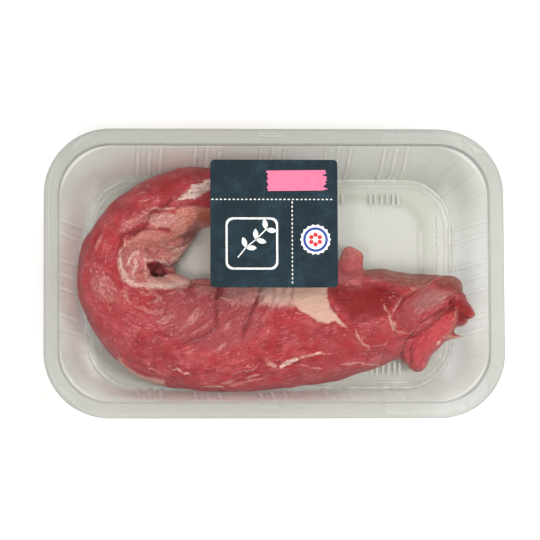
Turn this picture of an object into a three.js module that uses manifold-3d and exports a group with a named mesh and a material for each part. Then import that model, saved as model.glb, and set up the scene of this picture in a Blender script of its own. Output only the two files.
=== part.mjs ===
// Raw pork tenderloin sealed in a clear thermoformed tray.
// Millimetres, +Z up. The origin is on the surface the tray stands on, under its middle.
// +X runs along the tray and +Y across it, towards the side that the label lies nearer to.

import * as THREE from 'three';
import { mergeVertices } from 'three/addons/utils/BufferGeometryUtils.js';
import Module from 'manifold-3d';

// Driving dimensions of the tray
const TRAY_LENGTH = 228;
const TRAY_WIDTH = 144;
const TRAY_HEIGHT = 50;
const SHEET = 0.8;
const FLANGE_ENDS = 7.6;
const FLANGE_SIDES = 8.1;
const FLANGE_LIP = 1.6;
const FLANGE_DROP = 0.7;
const OUTER_CORNER = 32.7;
const RIM_CORNER = 25;
const LEDGE_CORNER = 31;
const LEDGE_DEPTH = 3.2;
const LEDGE_INSET = 0.8;
const LEDGE_RISE = 0.6;
const FOOT_CORNER = 24;
const WALL_RUN_ENDS = 13.6;
const WALL_RUN_SIDES = 11.2;
const FOOT_RADIUS = 3.2;
const FOOT_CURVE_INSET = 0.7;
const FOOT_CURVE_RISE = 0.9;
const CHANNEL_ENDS = 13;
const CHANNEL_SIDES = 5;
const PANEL_SLOPE_ENDS = 3.6;
const PANEL_SLOPE_SIDES = 6.4;
const PANEL_RISE = 2.8;
const PANEL_CORNER = 17;
const PANEL_FOOT_CORNER = 19;

// Ribs pressed into the walls in groups of three
const RIB_DEPTH = 1.3;
const RIB_PITCH = 6;
const RIBS_IN_GROUP = 3;
const SIDE_GROUPS = [-62, -32, 0, 32, 62];
const END_GROUPS = [-26, 0, 26];
const CORNER_RIBS = 4;
const CORNER_RIB_SHARE = 0.6;
const RIB_SHARE_AT_PANEL = 0.8;
const RIB_SHARE_IN_CHANNEL = 0.5;
const RIB_SHARE_AT_LEDGE = 0.3;

// Lidding film and label
const FILM_THICKNESS = 0.2;
const FILM_MARGIN = 0.4;
const LABEL_SIZE = 63.5;
const LABEL_THICKNESS = 0.2;
const LABEL_CORNER = 2.2;
const LABEL_CENTRE = { x: 0, y: 24.7 };

// Room left between the meat and the plastic round it
const GAP = 0.3;

const rimX = TRAY_LENGTH / 2 - FLANGE_ENDS;
const rimY = TRAY_WIDTH / 2 - FLANGE_SIDES;
const footX = rimX - WALL_RUN_ENDS;
const footY = rimY - WALL_RUN_SIDES;
const panelTop = SHEET + PANEL_RISE;
const ledgeHeight = TRAY_HEIGHT - LEDGE_DEPTH;

const wasm = await Module();
wasm.setup();

// One closed body from rings of points, each ring joined to the next and both ends closed by a fan
function closedFromRings(rings, startCentre, endCentre) {
  const count = rings[0].length;
  const points = rings.flat();
  points.push(startCentre, endCentre);
  const startIndex = points.length - 2;
  const endIndex = points.length - 1;
  const lastRing = (rings.length - 1) * count;
  const index = [];
  for (let i = 0; i < count; i += 1) {
    const next = (i + 1) % count;
    index.push(startIndex, next, i);
    index.push(endIndex, lastRing + i, lastRing + next);
    for (let ring = 0; ring < rings.length - 1; ring += 1) {
      const here = ring * count;
      const above = here + count;
      index.push(here + i, here + next, above + next);
      index.push(here + i, above + next, above + i);
    }
  }
  const coordinates = points.flatMap((point) => point.toArray());
  const geometry = new THREE.BufferGeometry();
  geometry.setAttribute('position', new THREE.Float32BufferAttribute(coordinates, 3));
  geometry.setIndex(index);
  return geometry;
}

function toSolid(geometry) {
  const bare = geometry.clone();
  bare.deleteAttribute('normal');
  bare.deleteAttribute('uv');
  const merged = mergeVertices(bare, 1e-4);
  return new wasm.Manifold(new wasm.Mesh({
    numProp: 3,
    vertProperties: new Float32Array(merged.attributes.position.array),
    triVerts: new Uint32Array(merged.index.array),
  }));
}

function toGeometry(solid) {
  const mesh = solid.getMesh();
  const geometry = new THREE.BufferGeometry();
  geometry.setAttribute('position', new THREE.Float32BufferAttribute(mesh.vertProperties, 3));
  geometry.setIndex(Array.from(mesh.triVerts));
  geometry.computeVertexNormals();
  return geometry;
}

// Stations round the tray: where a ring has points, and how far a rib stands in there (0 to 1)
function sideStations(groups, halfStraight) {
  const stations = [];
  for (const centre of groups) {
    const start = centre - (RIBS_IN_GROUP * RIB_PITCH) / 2;
    for (let step = 0; step <= RIBS_IN_GROUP * 2; step += 1) {
      stations.push({ along: (start + (step * RIB_PITCH) / 2) / halfStraight, rib: step % 2 });
    }
  }
  return stations;
}

function cornerStations() {
  const steps = CORNER_RIBS * 2;
  const stations = [];
  for (let step = 0; step <= steps; step += 1) {
    stations.push({ turn: step / steps, rib: (step % 2) * CORNER_RIB_SHARE });
  }
  return stations;
}

const longSide = sideStations(SIDE_GROUPS, rimX - RIM_CORNER);
const shortSide = sideStations(END_GROUPS, rimY - RIM_CORNER);
const corner = cornerStations();
const plainCorner = corner.map(({ turn }) => ({ turn, rib: 0 }));

// A ring of the tray: a rounded rectangle walked anticlockwise from the +X side
function trayRing({ halfX, halfY, radius, z, rib = 0 }, sides = true) {
  const points = [];
  for (let quarter = 0; quarter < 4; quarter += 1) {
    const angle = (quarter * Math.PI) / 2;
    const facesX = quarter % 2 === 0;
    const reach = facesX ? halfX : halfY;
    const halfStraight = (facesX ? halfY : halfX) - radius;
    const out = new THREE.Vector2(Math.cos(angle), Math.sin(angle));
    const along = new THREE.Vector2(-out.y, out.x);
    const place = (outward, sideways) => {
      const flat = out.clone().multiplyScalar(outward).addScaledVector(along, sideways);
      points.push(new THREE.Vector3(flat.x, flat.y, z));
    };
    if (sides) {
      for (const station of facesX ? shortSide : longSide) {
        place(reach - station.rib * rib * RIB_DEPTH, station.along * halfStraight);
      }
    }
    for (const station of sides ? corner : plainCorner) {
      const turn = (station.turn * Math.PI) / 2;
      const reachHere = radius - station.rib * rib * RIB_DEPTH;
      place(reach - radius + reachHere * Math.cos(turn), halfStraight + reachHere * Math.sin(turn));
    }
  }
  return points;
}

// The tray's lower face from the middle of the floor outwards, and its upper face back in again
function trayRings() {
  const panelX = footX - CHANNEL_ENDS;
  const panelY = footY - CHANNEL_SIDES;
  const inFoot = (inset) => ({ halfX: footX - inset, halfY: footY - inset, radius: FOOT_CORNER - inset });
  const inRim = (inset, radius) => ({ halfX: rimX - inset, halfY: rimY - inset, radius });
  const panelTopX = panelX - PANEL_SLOPE_ENDS;
  const panelTopY = panelY - PANEL_SLOPE_SIDES;
  const upper = [
    { halfX: panelTopX, halfY: panelTopY, radius: PANEL_CORNER, z: panelTop },
    { halfX: panelX, halfY: panelY, radius: PANEL_FOOT_CORNER, z: SHEET, rib: RIB_SHARE_AT_PANEL },
    { ...inFoot(FOOT_RADIUS), z: SHEET, rib: RIB_SHARE_IN_CHANNEL },
    { ...inFoot(FOOT_CURVE_INSET), z: SHEET + FOOT_CURVE_RISE, rib: 1 },
    { ...inFoot(0), z: SHEET + FOOT_RADIUS, rib: 1 },
    { ...inRim(LEDGE_INSET, LEDGE_CORNER), z: ledgeHeight, rib: RIB_SHARE_AT_LEDGE },
    { ...inRim(LEDGE_INSET / 2, RIM_CORNER), z: ledgeHeight + LEDGE_RISE },
    { ...inRim(0, RIM_CORNER), z: TRAY_HEIGHT },
  ];
  const lip = [
    { inset: FLANGE_LIP, z: TRAY_HEIGHT },
    { inset: 0, z: TRAY_HEIGHT - FLANGE_DROP },
    { inset: 0, z: TRAY_HEIGHT - FLANGE_DROP - SHEET },
    { inset: FLANGE_LIP, z: TRAY_HEIGHT - SHEET },
  ].map(({ inset, z }) => ({
    halfX: TRAY_LENGTH / 2 - inset,
    halfY: TRAY_WIDTH / 2 - inset,
    radius: OUTER_CORNER - inset,
    z,
  }));
  const grow = (ring, out, down) => ({
    ...ring,
    halfX: ring.halfX + out,
    halfY: ring.halfY + out,
    radius: ring.radius + out,
    z: ring.z - down,
  });
  const [panel, panelFoot, channel, curve, wallFoot, wallHead, ledge, rim] = upper;
  const lower = [
    grow(rim, SHEET, SHEET),
    grow(ledge, SHEET, SHEET),
    grow(wallHead, SHEET, SHEET / 2),
    grow(wallFoot, SHEET, SHEET / 2),
    grow(curve, SHEET * Math.SQRT1_2, SHEET * Math.SQRT1_2),
    grow(channel, 0, SHEET),
    grow(panelFoot, -SHEET, SHEET),
    grow(panel, -SHEET / 2, SHEET),
  ];
  return [...upper, ...lip, ...lower].reverse().map((ring) => trayRing(ring));
}

function makeTray() {
  const top = new THREE.Vector3(0, 0, panelTop);
  const under = new THREE.Vector3(0, 0, panelTop - SHEET);
  return closedFromRings(trayRings(), under, top);
}

// The room inside the tray, kept clear of the ribs, the floor panel and the film
function meatRoom() {
  const clear = RIB_DEPTH + GAP;
  const floor = panelTop + GAP;
  const inset = LEDGE_INSET + clear;
  const rings = [
    { halfX: footX - clear, halfY: footY - clear, radius: FOOT_CORNER - clear, z: floor },
    { halfX: rimX - inset, halfY: rimY - inset, radius: LEDGE_CORNER - clear, z: ledgeHeight },
  ].map((ring) => trayRing(ring, false));
  const bottomCentre = new THREE.Vector3(0, 0, floor);
  const topCentre = new THREE.Vector3(0, 0, ledgeHeight);
  return toSolid(closedFromRings(rings, bottomCentre, topCentre));
}

// A muscle: a closed sweep along stations of place, half width and half height, with domed ends
function muscle(stations, sides, steps, fullness = 1) {
  const line = new THREE.CatmullRomCurve3(stations.map((s) => new THREE.Vector3(s.x, s.y, s.z)));
  const size = new THREE.CatmullRomCurve3(stations.map((s) => new THREE.Vector3(s.wide, s.high, 0)));
  const length = line.getLength();
  const [first, last] = [stations[0], stations.at(-1)];
  const dome = (distance, end) => {
    const reach = Math.min(1, distance / Math.min(end.wide, end.high));
    return Math.sqrt(1 - (1 - reach) ** 2);
  };
  const rings = [];
  for (let step = 1; step < steps; step += 1) {
    const at = 0.5 - 0.5 * Math.cos((Math.PI * step) / steps);
    const centre = line.getPoint(at);
    const along = line.getTangent(at);
    const side = new THREE.Vector3(-along.y, along.x, 0).normalize();
    const { x: wide, y: high } = size.getPoint(at);
    const full = dome(at * length, first) * dome((1 - at) * length, last);
    const ring = [];
    for (let i = 0; i < sides; i += 1) {
      const angle = (2 * Math.PI * i) / sides;
      const across = Math.sign(Math.cos(angle)) * Math.abs(Math.cos(angle)) ** fullness;
      const up = Math.sign(Math.sin(angle)) * Math.abs(Math.sin(angle)) ** fullness;
      const point = centre.clone().addScaledVector(side, wide * full * across);
      point.z += high * full * up;
      ring.push(point);
    }
    rings.push(ring);
  }
  return closedFromRings(rings, line.getPoint(0), line.getPoint(1));
}

// The muscles of the tenderloin: place along the tray, across it and up, then half width and half height
const station = (x, y, z, wide, high) => ({ x, y, z, wide, high });

// The thick loin muscle, from its folded end on the right, round the bend and up to its thin tip
const LOIN = [
  station(88, -14, 16, 8, 10),
  station(77, -17, 18, 15, 15),
  station(64, -20, 19.5, 19.5, 17.5),
  station(50, -21.5, 20.5, 23.5, 19.5),
  station(35, -22.5, 21.5, 26, 20.5),
  station(18, -25.6, 21.8, 27.4, 21),
  station(-8, -29.5, 21.8, 28, 21),
  station(-34, -31.5, 21.5, 26.7, 20.5),
  station(-57, -27.5, 21, 25.5, 20),
  station(-74, -15.5, 20.5, 22, 19),
  station(-84.5, -1.5, 20, 15, 18.5),
  station(-85.5, 10, 19.5, 13, 18),
  station(-82, 20.5, 19, 12.5, 17.5),
  station(-74.5, 30, 18.5, 12, 17),
  station(-63, 38.5, 18, 11, 16.5),
  station(-48, 44.5, 17.5, 10, 15.5),
  station(-32.5, 47.3, 16.5, 9.2, 14),
  station(-17, 47.8, 14.5, 8.5, 12),
  station(-3, 46, 12, 6, 8),
];
// The tan side muscle on the inner side of the bend, and the thin loose lobe that hangs beside it
const SIDE_MUSCLE = [
  station(-69, 14, 19, 10, 15),
  station(-64.5, 22, 18.5, 11.5, 15.5),
  station(-56, 29, 18.5, 12, 15.5),
  station(-45, 34, 18, 12, 15),
  station(-33, 36.5, 17, 12, 14),
  station(-17, 38, 15, 10.5, 12),
  station(-3, 39, 12, 7.5, 8),
];
const LOOSE_LOBE = [
  station(-64, 5, 12, 6, 8),
  station(-54, 13, 12.5, 7, 9),
  station(-44, 20, 12, 5.5, 8),
  station(-36, 27, 11, 4, 6),
];
// The pale round muscle head that fills the bend
const MUSCLE_HEAD = [
  station(-72, -1, 23, 8, 12),
  station(-69.5, 7, 24, 10.5, 14),
  station(-65.5, 16, 22.5, 8.5, 13),
];
// The strap of meat along the lower edge
const CHAIN = [
  station(-76, -37, 11, 4, 7),
  station(-62, -45.5, 11, 8, 8),
  station(-36, -49.5, 11, 9, 8),
  station(-8, -49.5, 11, 9.5, 8),
  station(18, -46, 12, 9, 8.5),
  station(38, -39.5, 13, 8, 9),
  station(56, -33, 14, 6, 8),
];
// The brown edge muscle on the upper side, towards the folded end
const EDGE_MUSCLE = [
  station(36, -1.5, 23, 5, 7),
  station(52, -3, 25, 7.5, 9),
  station(68, -6, 25, 8, 9.5),
  station(84, -6.5, 24, 7.5, 10),
  station(92, -8, 21, 6, 9),
];
// The slab folded over the end, the flap that hangs from it and the turn hidden under both
const FOLDED_SLAB = [
  station(92, -5, 30, 6, 7),
  station(86.5, -7, 33, 8.5, 8),
  station(78, -13.5, 35.5, 9, 8),
  station(69, -20.5, 34.5, 9, 7.5),
  station(63, -25, 31, 7, 6),
];
const HANGING_FLAP = [
  station(90, -13, 27, 5.5, 7),
  station(86, -20.5, 28.5, 8, 8),
  station(79, -29, 25.5, 9.5, 9),
  station(72.5, -37.5, 20, 8.5, 9),
  station(70.5, -45, 14, 5.5, 7),
];
const HIDDEN_TURN = [
  station(87, -9, 24, 8, 10),
  station(95, -16, 27, 7.5, 9),
  station(96.5, -22.5, 26, 6, 8),
];
// A small flap on the upper edge and a thin spike of dried meat at the folded end
const SMALL_FLAP = [
  station(38.5, -6, 24, 7, 5),
  station(39.5, 4, 21, 6.5, 4.5),
  station(40, 15, 16, 4.5, 3),
];
const SPIKE = [
  station(82, -30, 25, 3, 2.6),
  station(90, -30.6, 26, 1.7, 1.4),
  station(97, -30.8, 27, 0.6, 0.5),
];

function makeTenderloin() {
  const pieces = [
    muscle(LOIN, 24, 46, 0.92),
    muscle(SIDE_MUSCLE, 18, 22),
    muscle(LOOSE_LOBE, 12, 12),
    muscle(MUSCLE_HEAD, 18, 12),
    muscle(CHAIN, 14, 22),
    muscle(EDGE_MUSCLE, 14, 16),
    muscle(FOLDED_SLAB, 14, 14),
    muscle(HANGING_FLAP, 14, 14),
    muscle(HIDDEN_TURN, 12, 10),
    muscle(SMALL_FLAP, 12, 10),
    muscle(SPIKE, 8, 8),
  ];
  const joined = pieces.map(toSolid).reduce((whole, piece) => whole.add(piece));
  return toGeometry(joined.intersect(meatRoom()));
}

// A thin flat sheet with rounded corners, lying at a given height
function flatSheet(halfX, halfY, radius, thickness) {
  const outline = new THREE.Shape();
  outline.moveTo(halfX, -halfY + radius);
  outline.lineTo(halfX, halfY - radius);
  outline.absarc(halfX - radius, halfY - radius, radius, 0, Math.PI / 2, false);
  outline.absarc(-halfX + radius, halfY - radius, radius, Math.PI / 2, Math.PI, false);
  outline.absarc(-halfX + radius, -halfY + radius, radius, Math.PI, 1.5 * Math.PI, false);
  outline.absarc(halfX - radius, -halfY + radius, radius, 1.5 * Math.PI, 2 * Math.PI, false);
  return new THREE.ExtrudeGeometry(outline, { depth: thickness, bevelEnabled: false, curveSegments: 10 });
}

function named(name, geometry, settings) {
  const mesh = new THREE.Mesh(geometry, new THREE.MeshStandardMaterial(settings));
  mesh.name = name;
  return mesh;
}

const CLEAR_PLASTIC = { color: '#c9cbc5', roughness: 0.12, metalness: 0, transparent: true, opacity: 0.3 };

const tray = named('tray', makeTray(), CLEAR_PLASTIC);

const tenderloin = named('tenderloin', makeTenderloin(), { color: '#b15052', roughness: 0.35, metalness: 0 });

const lidFilm = named(
  'lid_film',
  flatSheet(
    TRAY_LENGTH / 2 - FLANGE_LIP - FILM_MARGIN,
    TRAY_WIDTH / 2 - FLANGE_LIP - FILM_MARGIN,
    OUTER_CORNER - FLANGE_LIP - FILM_MARGIN,
    FILM_THICKNESS,
  ),
  { ...CLEAR_PLASTIC, opacity: 0.15 },
);
lidFilm.position.z = TRAY_HEIGHT;

const label = named(
  'label',
  flatSheet(LABEL_SIZE / 2, LABEL_SIZE / 2, LABEL_CORNER, LABEL_THICKNESS),
  { color: '#263842', roughness: 0.6, metalness: 0 },
);
label.position.set(LABEL_CENTRE.x, LABEL_CENTRE.y, TRAY_HEIGHT + FILM_THICKNESS);

const group = new THREE.Group();
group.add(tray, tenderloin, lidFilm, label);

export default group;
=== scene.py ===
"""Raw pork tenderloin, folded into a hook and sealed in a clear ribbed tray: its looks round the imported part.

The frame is the part's own: the origin is on the surface that the tray stands on, under its middle, with +X
along the tray, +Y across it and +Z up. Sizes and places are in millimetres and turn to metres in the meshes.
"""

import math

import bpy
import numpy as np
from mathutils import Matrix, Vector, kdtree, noise


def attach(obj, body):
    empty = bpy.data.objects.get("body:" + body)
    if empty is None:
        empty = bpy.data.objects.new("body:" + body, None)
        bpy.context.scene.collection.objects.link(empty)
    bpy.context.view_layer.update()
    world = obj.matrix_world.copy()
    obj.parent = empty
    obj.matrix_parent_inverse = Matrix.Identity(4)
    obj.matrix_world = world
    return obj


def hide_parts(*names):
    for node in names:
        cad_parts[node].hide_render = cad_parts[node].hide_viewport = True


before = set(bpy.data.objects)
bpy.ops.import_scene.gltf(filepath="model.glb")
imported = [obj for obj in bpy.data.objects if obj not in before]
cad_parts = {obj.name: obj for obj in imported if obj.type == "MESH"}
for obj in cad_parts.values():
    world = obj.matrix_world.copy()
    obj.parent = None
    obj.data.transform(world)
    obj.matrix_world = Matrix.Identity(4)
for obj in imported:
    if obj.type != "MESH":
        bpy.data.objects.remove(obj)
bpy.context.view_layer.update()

MM = 0.001


def linear(code):
    """An sRGB hex colour as the linear RGBA that a shader socket takes."""
    channels = [int(code[i:i + 2], 16) / 255 for i in (1, 3, 5)]
    return tuple(c / 12.92 if c <= 0.04045 else ((c + 0.055) / 1.055) ** 2.4 for c in channels) + (1.0,)


def smoothstep(low, high, value):
    share = np.clip((value - low) / (high - low), 0, 1)
    return share * share * (3 - 2 * share)


# Materials

# Sockets of a Mix node: its factor, its two colours and the mixed colour, and its two numbers
MIX_FACTOR, MIX_A, MIX_B, MIX_RESULT = 0, 6, 7, 2
MIX_FIRST, MIX_SECOND = 2, 3


def add_node(tree, kind, inputs=None, **settings):
    """Adds one shader node, with its settings and with its inputs set or linked."""
    made = tree.nodes.new(kind)
    for name, value in settings.items():
        setattr(made, name, value)
    for name, value in (inputs or {}).items():
        if isinstance(value, bpy.types.NodeSocket):
            tree.links.new(value, made.inputs[name])
        else:
            made.inputs[name].default_value = value
    return made


def new_material(name):
    material = bpy.data.materials.new(name)
    material.use_nodes = True
    tree = material.node_tree
    tree.nodes.clear()
    output = tree.nodes.new("ShaderNodeOutputMaterial")
    return material, tree, output.inputs["Surface"]


# Raw pork is lean muscle fibre, moist on the outside: red light goes a few millimetres in and comes out
# again, so its red stays soft, and the film of juice on it breaks into small highlights.
LEAN = linear("#a02831")
LEAN_PALE = linear("#b4494e")
LEAN_DEEP = linear("#7a1018")
LEAN_BRIGHT = linear("#b02029")
# The colour of the painted highlights of the juice
PAINTED_WET_HIGHLIGHT = linear("#dca9a6")
# What covers the lean here and there, from the first coat to the last: its colour, and how much the fibres
# and specks break up its edge
RAGGED_REACH = 2.5
FINISHES = {
    "veil": (linear("#9c4045"), 0.4),
    "bloom": (linear("#b3262f"), 0.5),
    # the deep red of the lean, and painted shade under the folded end and in the pit
    "deep_red_and_painted_shade": (linear("#800307"), 1.1),
    "dry": (linear("#80463a"), 1.2),
    "tan": (linear("#c6806a"), 0.6),
    "orange": (linear("#a0401c"), 0.8),
    # paler tissue, and painted highlights on wrinkle tops and beside creases
    "pale": (linear("#c2827a"), 0.6),
    "silver": (linear("#cfa699"), 0.25),
    "mauve": (linear("#9b5b57"), 0.5),
    "rosy": (linear("#bc3a43"), 0.5),
    "pink": (linear("#c1766f"), 0.5),
    "fat": (linear("#cfa593"), 0.3),
    "white": (linear("#e8ccc0"), 0.8),
    # painted shade in the creases and between lobes
    "painted_crease_shade": (linear("#701a1c"), 0.3),
}
PORK_IOR = 1.4
JUICE_IOR = 1.34
# Sizes along the muscle and across it
FIBRE_MM = (4.0, 1.0, 1.0)
WRINKLE_MM = (4.6, 0.9, 0.9)
BUNDLE_MM = (34.0, 5.0, 5.0)
# Sizes of what lies in no direction
SPECK_MM = 1.2
BLUSH_MM = 9.0
CLUSTER_MM = 7.0
PORE_MM = 0.45
# Shares of fibre and speck in the meat's texture, and how high its small relief stands
FIBRE_SHARE, SPECK_SHARE = 0.55, 0.45
FIBRE_RELIEF, SPECK_RELIEF, PORE_RELIEF = 0.7, 0.6, 0.2
RELIEF_MM = 1.3
# How far red, green and blue light goes into the meat, as shares of the depth
SCATTER_SHARES = (1.0, 0.35, 0.25)
SCATTER_MM = 2.0


def raw_pork():
    material, tree, surface = new_material("raw_pork_lean_fat_and_silver_skin")
    place = add_node(tree, "ShaderNodeTexCoord").outputs["Object"]
    masks = {
        name: add_node(tree, "ShaderNodeAttribute", attribute_name=name).outputs["Fac"]
        for name in (*FINISHES, "wrinkled")
    }

    # Noise drawn out along the muscle; both attributes give places in millimetres, along it and across
    strands = {}
    for name, attribute, size_mm in (
        ("fibre", "grain", FIBRE_MM),
        ("wrinkle", "wrinkle", WRINKLE_MM),
        ("bundle", "grain", BUNDLE_MM),
    ):
        grain = add_node(tree, "ShaderNodeAttribute", attribute_name=attribute).outputs["Vector"]
        scaled = add_node(tree, "ShaderNodeVectorMath", {0: grain, 1: tuple(1 / size for size in size_mm)},
                          operation="MULTIPLY").outputs["Vector"]
        strands[name] = add_node(tree, "ShaderNodeTexNoise", {
            "Vector": scaled, "Scale": 1.0, "Detail": 4.0, "Roughness": 0.6, "Distortion": 0.5,
        }).outputs["Fac"]
    specks = {}
    for name, size_mm in (
        ("speck", SPECK_MM), ("blush", BLUSH_MM), ("cluster", CLUSTER_MM), ("pore", PORE_MM),
    ):
        specks[name] = add_node(tree, "ShaderNodeTexNoise", {
            "Vector": place, "Scale": 1 / (size_mm * MM), "Detail": 3.0, "Roughness": 0.62, "Distortion": 0.6,
        }).outputs["Fac"]

    fine = add_node(tree, "ShaderNodeMix", {
        MIX_FACTOR: masks["wrinkled"], MIX_FIRST: strands["fibre"], MIX_SECOND: strands["wrinkle"],
    }, data_type="FLOAT").outputs[0]
    # Fibre and speck together, still about 0.5 in the middle
    some_speck = add_node(tree, "ShaderNodeMath", {0: specks["speck"], 1: SPECK_SHARE},
                          operation="MULTIPLY").outputs[0]
    texture = add_node(tree, "ShaderNodeMath", {0: fine, 1: FIBRE_SHARE, 2: some_speck},
                       operation="MULTIPLY_ADD").outputs[0]

    # The tones of the lean: a pattern, the span of it that the tone fades over, the tone's share at the low
    # and at the high end of that span, and the tone
    colour = LEAN
    tones = (
        (strands["bundle"], 0.38, 0.62, 0.45, 0.0, LEAN_DEEP),
        (specks["cluster"], 0.35, 0.6, 0.5, 0.0, LEAN_BRIGHT),
        (specks["blush"], 0.42, 0.66, 0.0, 0.75, LEAN_PALE),
        (texture, 0.34, 0.5, 0.25, 0.0, LEAN_DEEP),
        (texture, 0.5, 0.62, 0.0, 0.25, LEAN_PALE),
    )
    for pattern, low, high, share_low, share_high, tone in tones:
        share = add_node(tree, "ShaderNodeMapRange", {
            "Value": pattern, "From Min": low, "From Max": high, "To Min": share_low, "To Max": share_high,
        }, interpolation_type="SMOOTHSTEP").outputs["Result"]
        colour = add_node(tree, "ShaderNodeMix", {MIX_FACTOR: share, MIX_A: colour, MIX_B: tone},
                          data_type="RGBA").outputs[MIX_RESULT]

    # Each finish covers its marks, with an edge that the fibres and specks break up
    offset = add_node(tree, "ShaderNodeMath", {0: texture, 1: 0.5}, operation="SUBTRACT").outputs[0]
    for name, (finish, raggedness) in FINISHES.items():
        ragged = add_node(tree, "ShaderNodeMath", {0: offset, 1: RAGGED_REACH * raggedness, 2: masks[name]},
                          operation="MULTIPLY_ADD").outputs[0]
        near = add_node(tree, "ShaderNodeMapRange", {"Value": masks[name], "From Max": 0.4}).outputs["Result"]
        covered = add_node(tree, "ShaderNodeMath", {0: ragged, 1: near}, operation="MULTIPLY").outputs[0]
        share = add_node(tree, "ShaderNodeMapRange", {"Value": covered, "From Min": 0.05, "From Max": 0.9},
                         interpolation_type="SMOOTHSTEP").outputs["Result"]
        colour = add_node(tree, "ShaderNodeMix", {MIX_FACTOR: share, MIX_A: colour, MIX_B: finish},
                          data_type="RGBA").outputs[MIX_RESULT]

    # Painted highlights: small pale specks in the colour where the juice on the fibres would catch the light,
    # more of them on the wrinkled skin
    sparkle = add_node(tree, "ShaderNodeMapRange", {
        "Value": masks["wrinkled"], "From Min": 0.0, "From Max": 1.0, "To Min": 0.35, "To Max": 0.42,
    }).outputs["Result"]
    clusters = add_node(tree, "ShaderNodeMapRange", {
        "Value": specks["cluster"], "From Min": 0.42, "From Max": 0.6, "To Min": 0.0, "To Max": sparkle,
    }, interpolation_type="SMOOTHSTEP").outputs["Result"]
    painted_wet_highlights = add_node(tree, "ShaderNodeMapRange", {
        "Value": texture, "From Min": 0.5, "From Max": 0.66, "To Min": 0.0, "To Max": clusters,
    }, interpolation_type="SMOOTHSTEP").outputs["Result"]
    colour = add_node(tree, "ShaderNodeMix", {MIX_FACTOR: painted_wet_highlights, MIX_A: colour, MIX_B: PAINTED_WET_HIGHLIGHT},
                      data_type="RGBA").outputs[MIX_RESULT]
    # Painted shade: the small hollows between the fibres are darker, whatever their colour
    painted_hollow_shade = add_node(tree, "ShaderNodeMapRange", {
        "Value": texture, "From Min": 0.38, "From Max": 0.62, "To Min": 0.81, "To Max": 1.17,
    }).outputs["Result"]
    on_lean = add_node(tree, "ShaderNodeMapRange", {
        "Value": masks["fat"], "To Min": 1.0, "To Max": 0.3,
    }).outputs["Result"]
    shade = add_node(tree, "ShaderNodeCombineColor", {
        "Red": painted_hollow_shade, "Green": painted_hollow_shade, "Blue": painted_hollow_shade,
    }).outputs["Color"]
    colour = add_node(tree, "ShaderNodeMix", {MIX_FACTOR: on_lean, MIX_A: colour, MIX_B: shade},
                      data_type="RGBA", blend_type="MULTIPLY").outputs[MIX_RESULT]

    height = add_node(tree, "ShaderNodeMath", {0: specks["pore"], 1: PORE_RELIEF},
                      operation="MULTIPLY").outputs[0]
    for pattern, weight in ((fine, FIBRE_RELIEF), (specks["speck"], SPECK_RELIEF)):
        height = add_node(tree, "ShaderNodeMath", {0: pattern, 1: weight, 2: height},
                          operation="MULTIPLY_ADD").outputs[0]
    bump = add_node(tree, "ShaderNodeBump", {"Height": height, "Strength": 1.0, "Distance": RELIEF_MM * MM})
    wet = add_node(tree, "ShaderNodeMapRange", {
        "Value": specks["blush"], "From Min": 0.3, "From Max": 0.7, "To Min": 0.3, "To Max": 0.55,
    }).outputs["Result"]
    # The juice runs off the steep sides, so they gleam less, and so does the deep red field
    edge_on = add_node(tree, "ShaderNodeLayerWeight", {"Blend": 0.5}).outputs["Facing"]
    standing = add_node(tree, "ShaderNodeMapRange", {
        "Value": masks["deep_red_and_painted_shade"], "To Min": 0.95, "To Max": 0.25,
    }).outputs["Result"]
    juice = add_node(tree, "ShaderNodeMapRange", {
        "Value": edge_on, "From Min": 0.4, "From Max": 0.95, "To Min": standing, "To Max": 0.1,
    }).outputs["Result"]
    shader = add_node(tree, "ShaderNodeBsdfPrincipled", {
        "Base Color": colour, "Roughness": wet, "IOR": PORK_IOR, "Specular IOR Level": 0.2,
        "Normal": bump.outputs["Normal"],
        "Subsurface Weight": 0.2, "Subsurface Radius": SCATTER_SHARES, "Subsurface Scale": SCATTER_MM * MM,
        "Coat Weight": juice, "Coat Roughness": 0.06, "Coat IOR": JUICE_IOR,
        "Coat Normal": bump.outputs["Normal"],
    })
    tree.links.new(shader.outputs["BSDF"], surface)
    return material


# PET sheet, vacuum formed: clear with a faint yellow-grey cast. It is denser to the eye where it is seen
# edge on or bends tightly, dark in the wall and light in the floor. Its bends and ridges carry painted
# highlights, and its rim and grooves painted dark lines of shade.
PET_WALL = linear("#9c9d87")
# painted highlight along the tight bends and the rib tops
PET_BEND_HIGHLIGHT = linear("#e4e3d6")
PET_FLANGE = linear("#8c8d81")
# painted shade for the dark lines at the rim and in the rib grooves
PET_EDGE_SHADE = linear("#4e4640")
PET_FLOOR = linear("#a5a68c")
# painted light thrown back from the meat
PET_BOUNCE_LIGHT = linear("#eadfcb")
# painted reflection of the meat's red
PET_MEAT_REFLECTION = linear("#c08176")
# painted highlight
PET_GLINT = linear("#fbfbf6")
FILM_GREY = linear("#9a9a98")
PET_IOR = 1.57
# Distance between the sheet's streaks; the wave pattern runs through this angle per metre at a scale of 1
STREAK_MM, WAVE_ANGLE = 2.1, 20
# How dense the sheet looks where it lies level, where it stands steep, and where the film is sealed to it
LEVEL_DENSITY, STEEP_DENSITY, SEALED_DENSITY = 0.18, 0.25, 0.42
# How much denser each of its marks makes it, and how much the shade adds on the flange
MARK_DENSITY = {"bend": 0.05, "painted_groove_shade": 0.06, "glint": 0.3, "blush": 0.09, "shaded": 0.14, "rim": 0.1}
FLANGE_SHADE = 0.15
# How much of the painted reflection of the meat and of the painted shade of the grooves shows in its colour
MEAT_REFLECTION_SHARE, GROOVE_SHADE_SHARE = 0.75, 0.5


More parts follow.
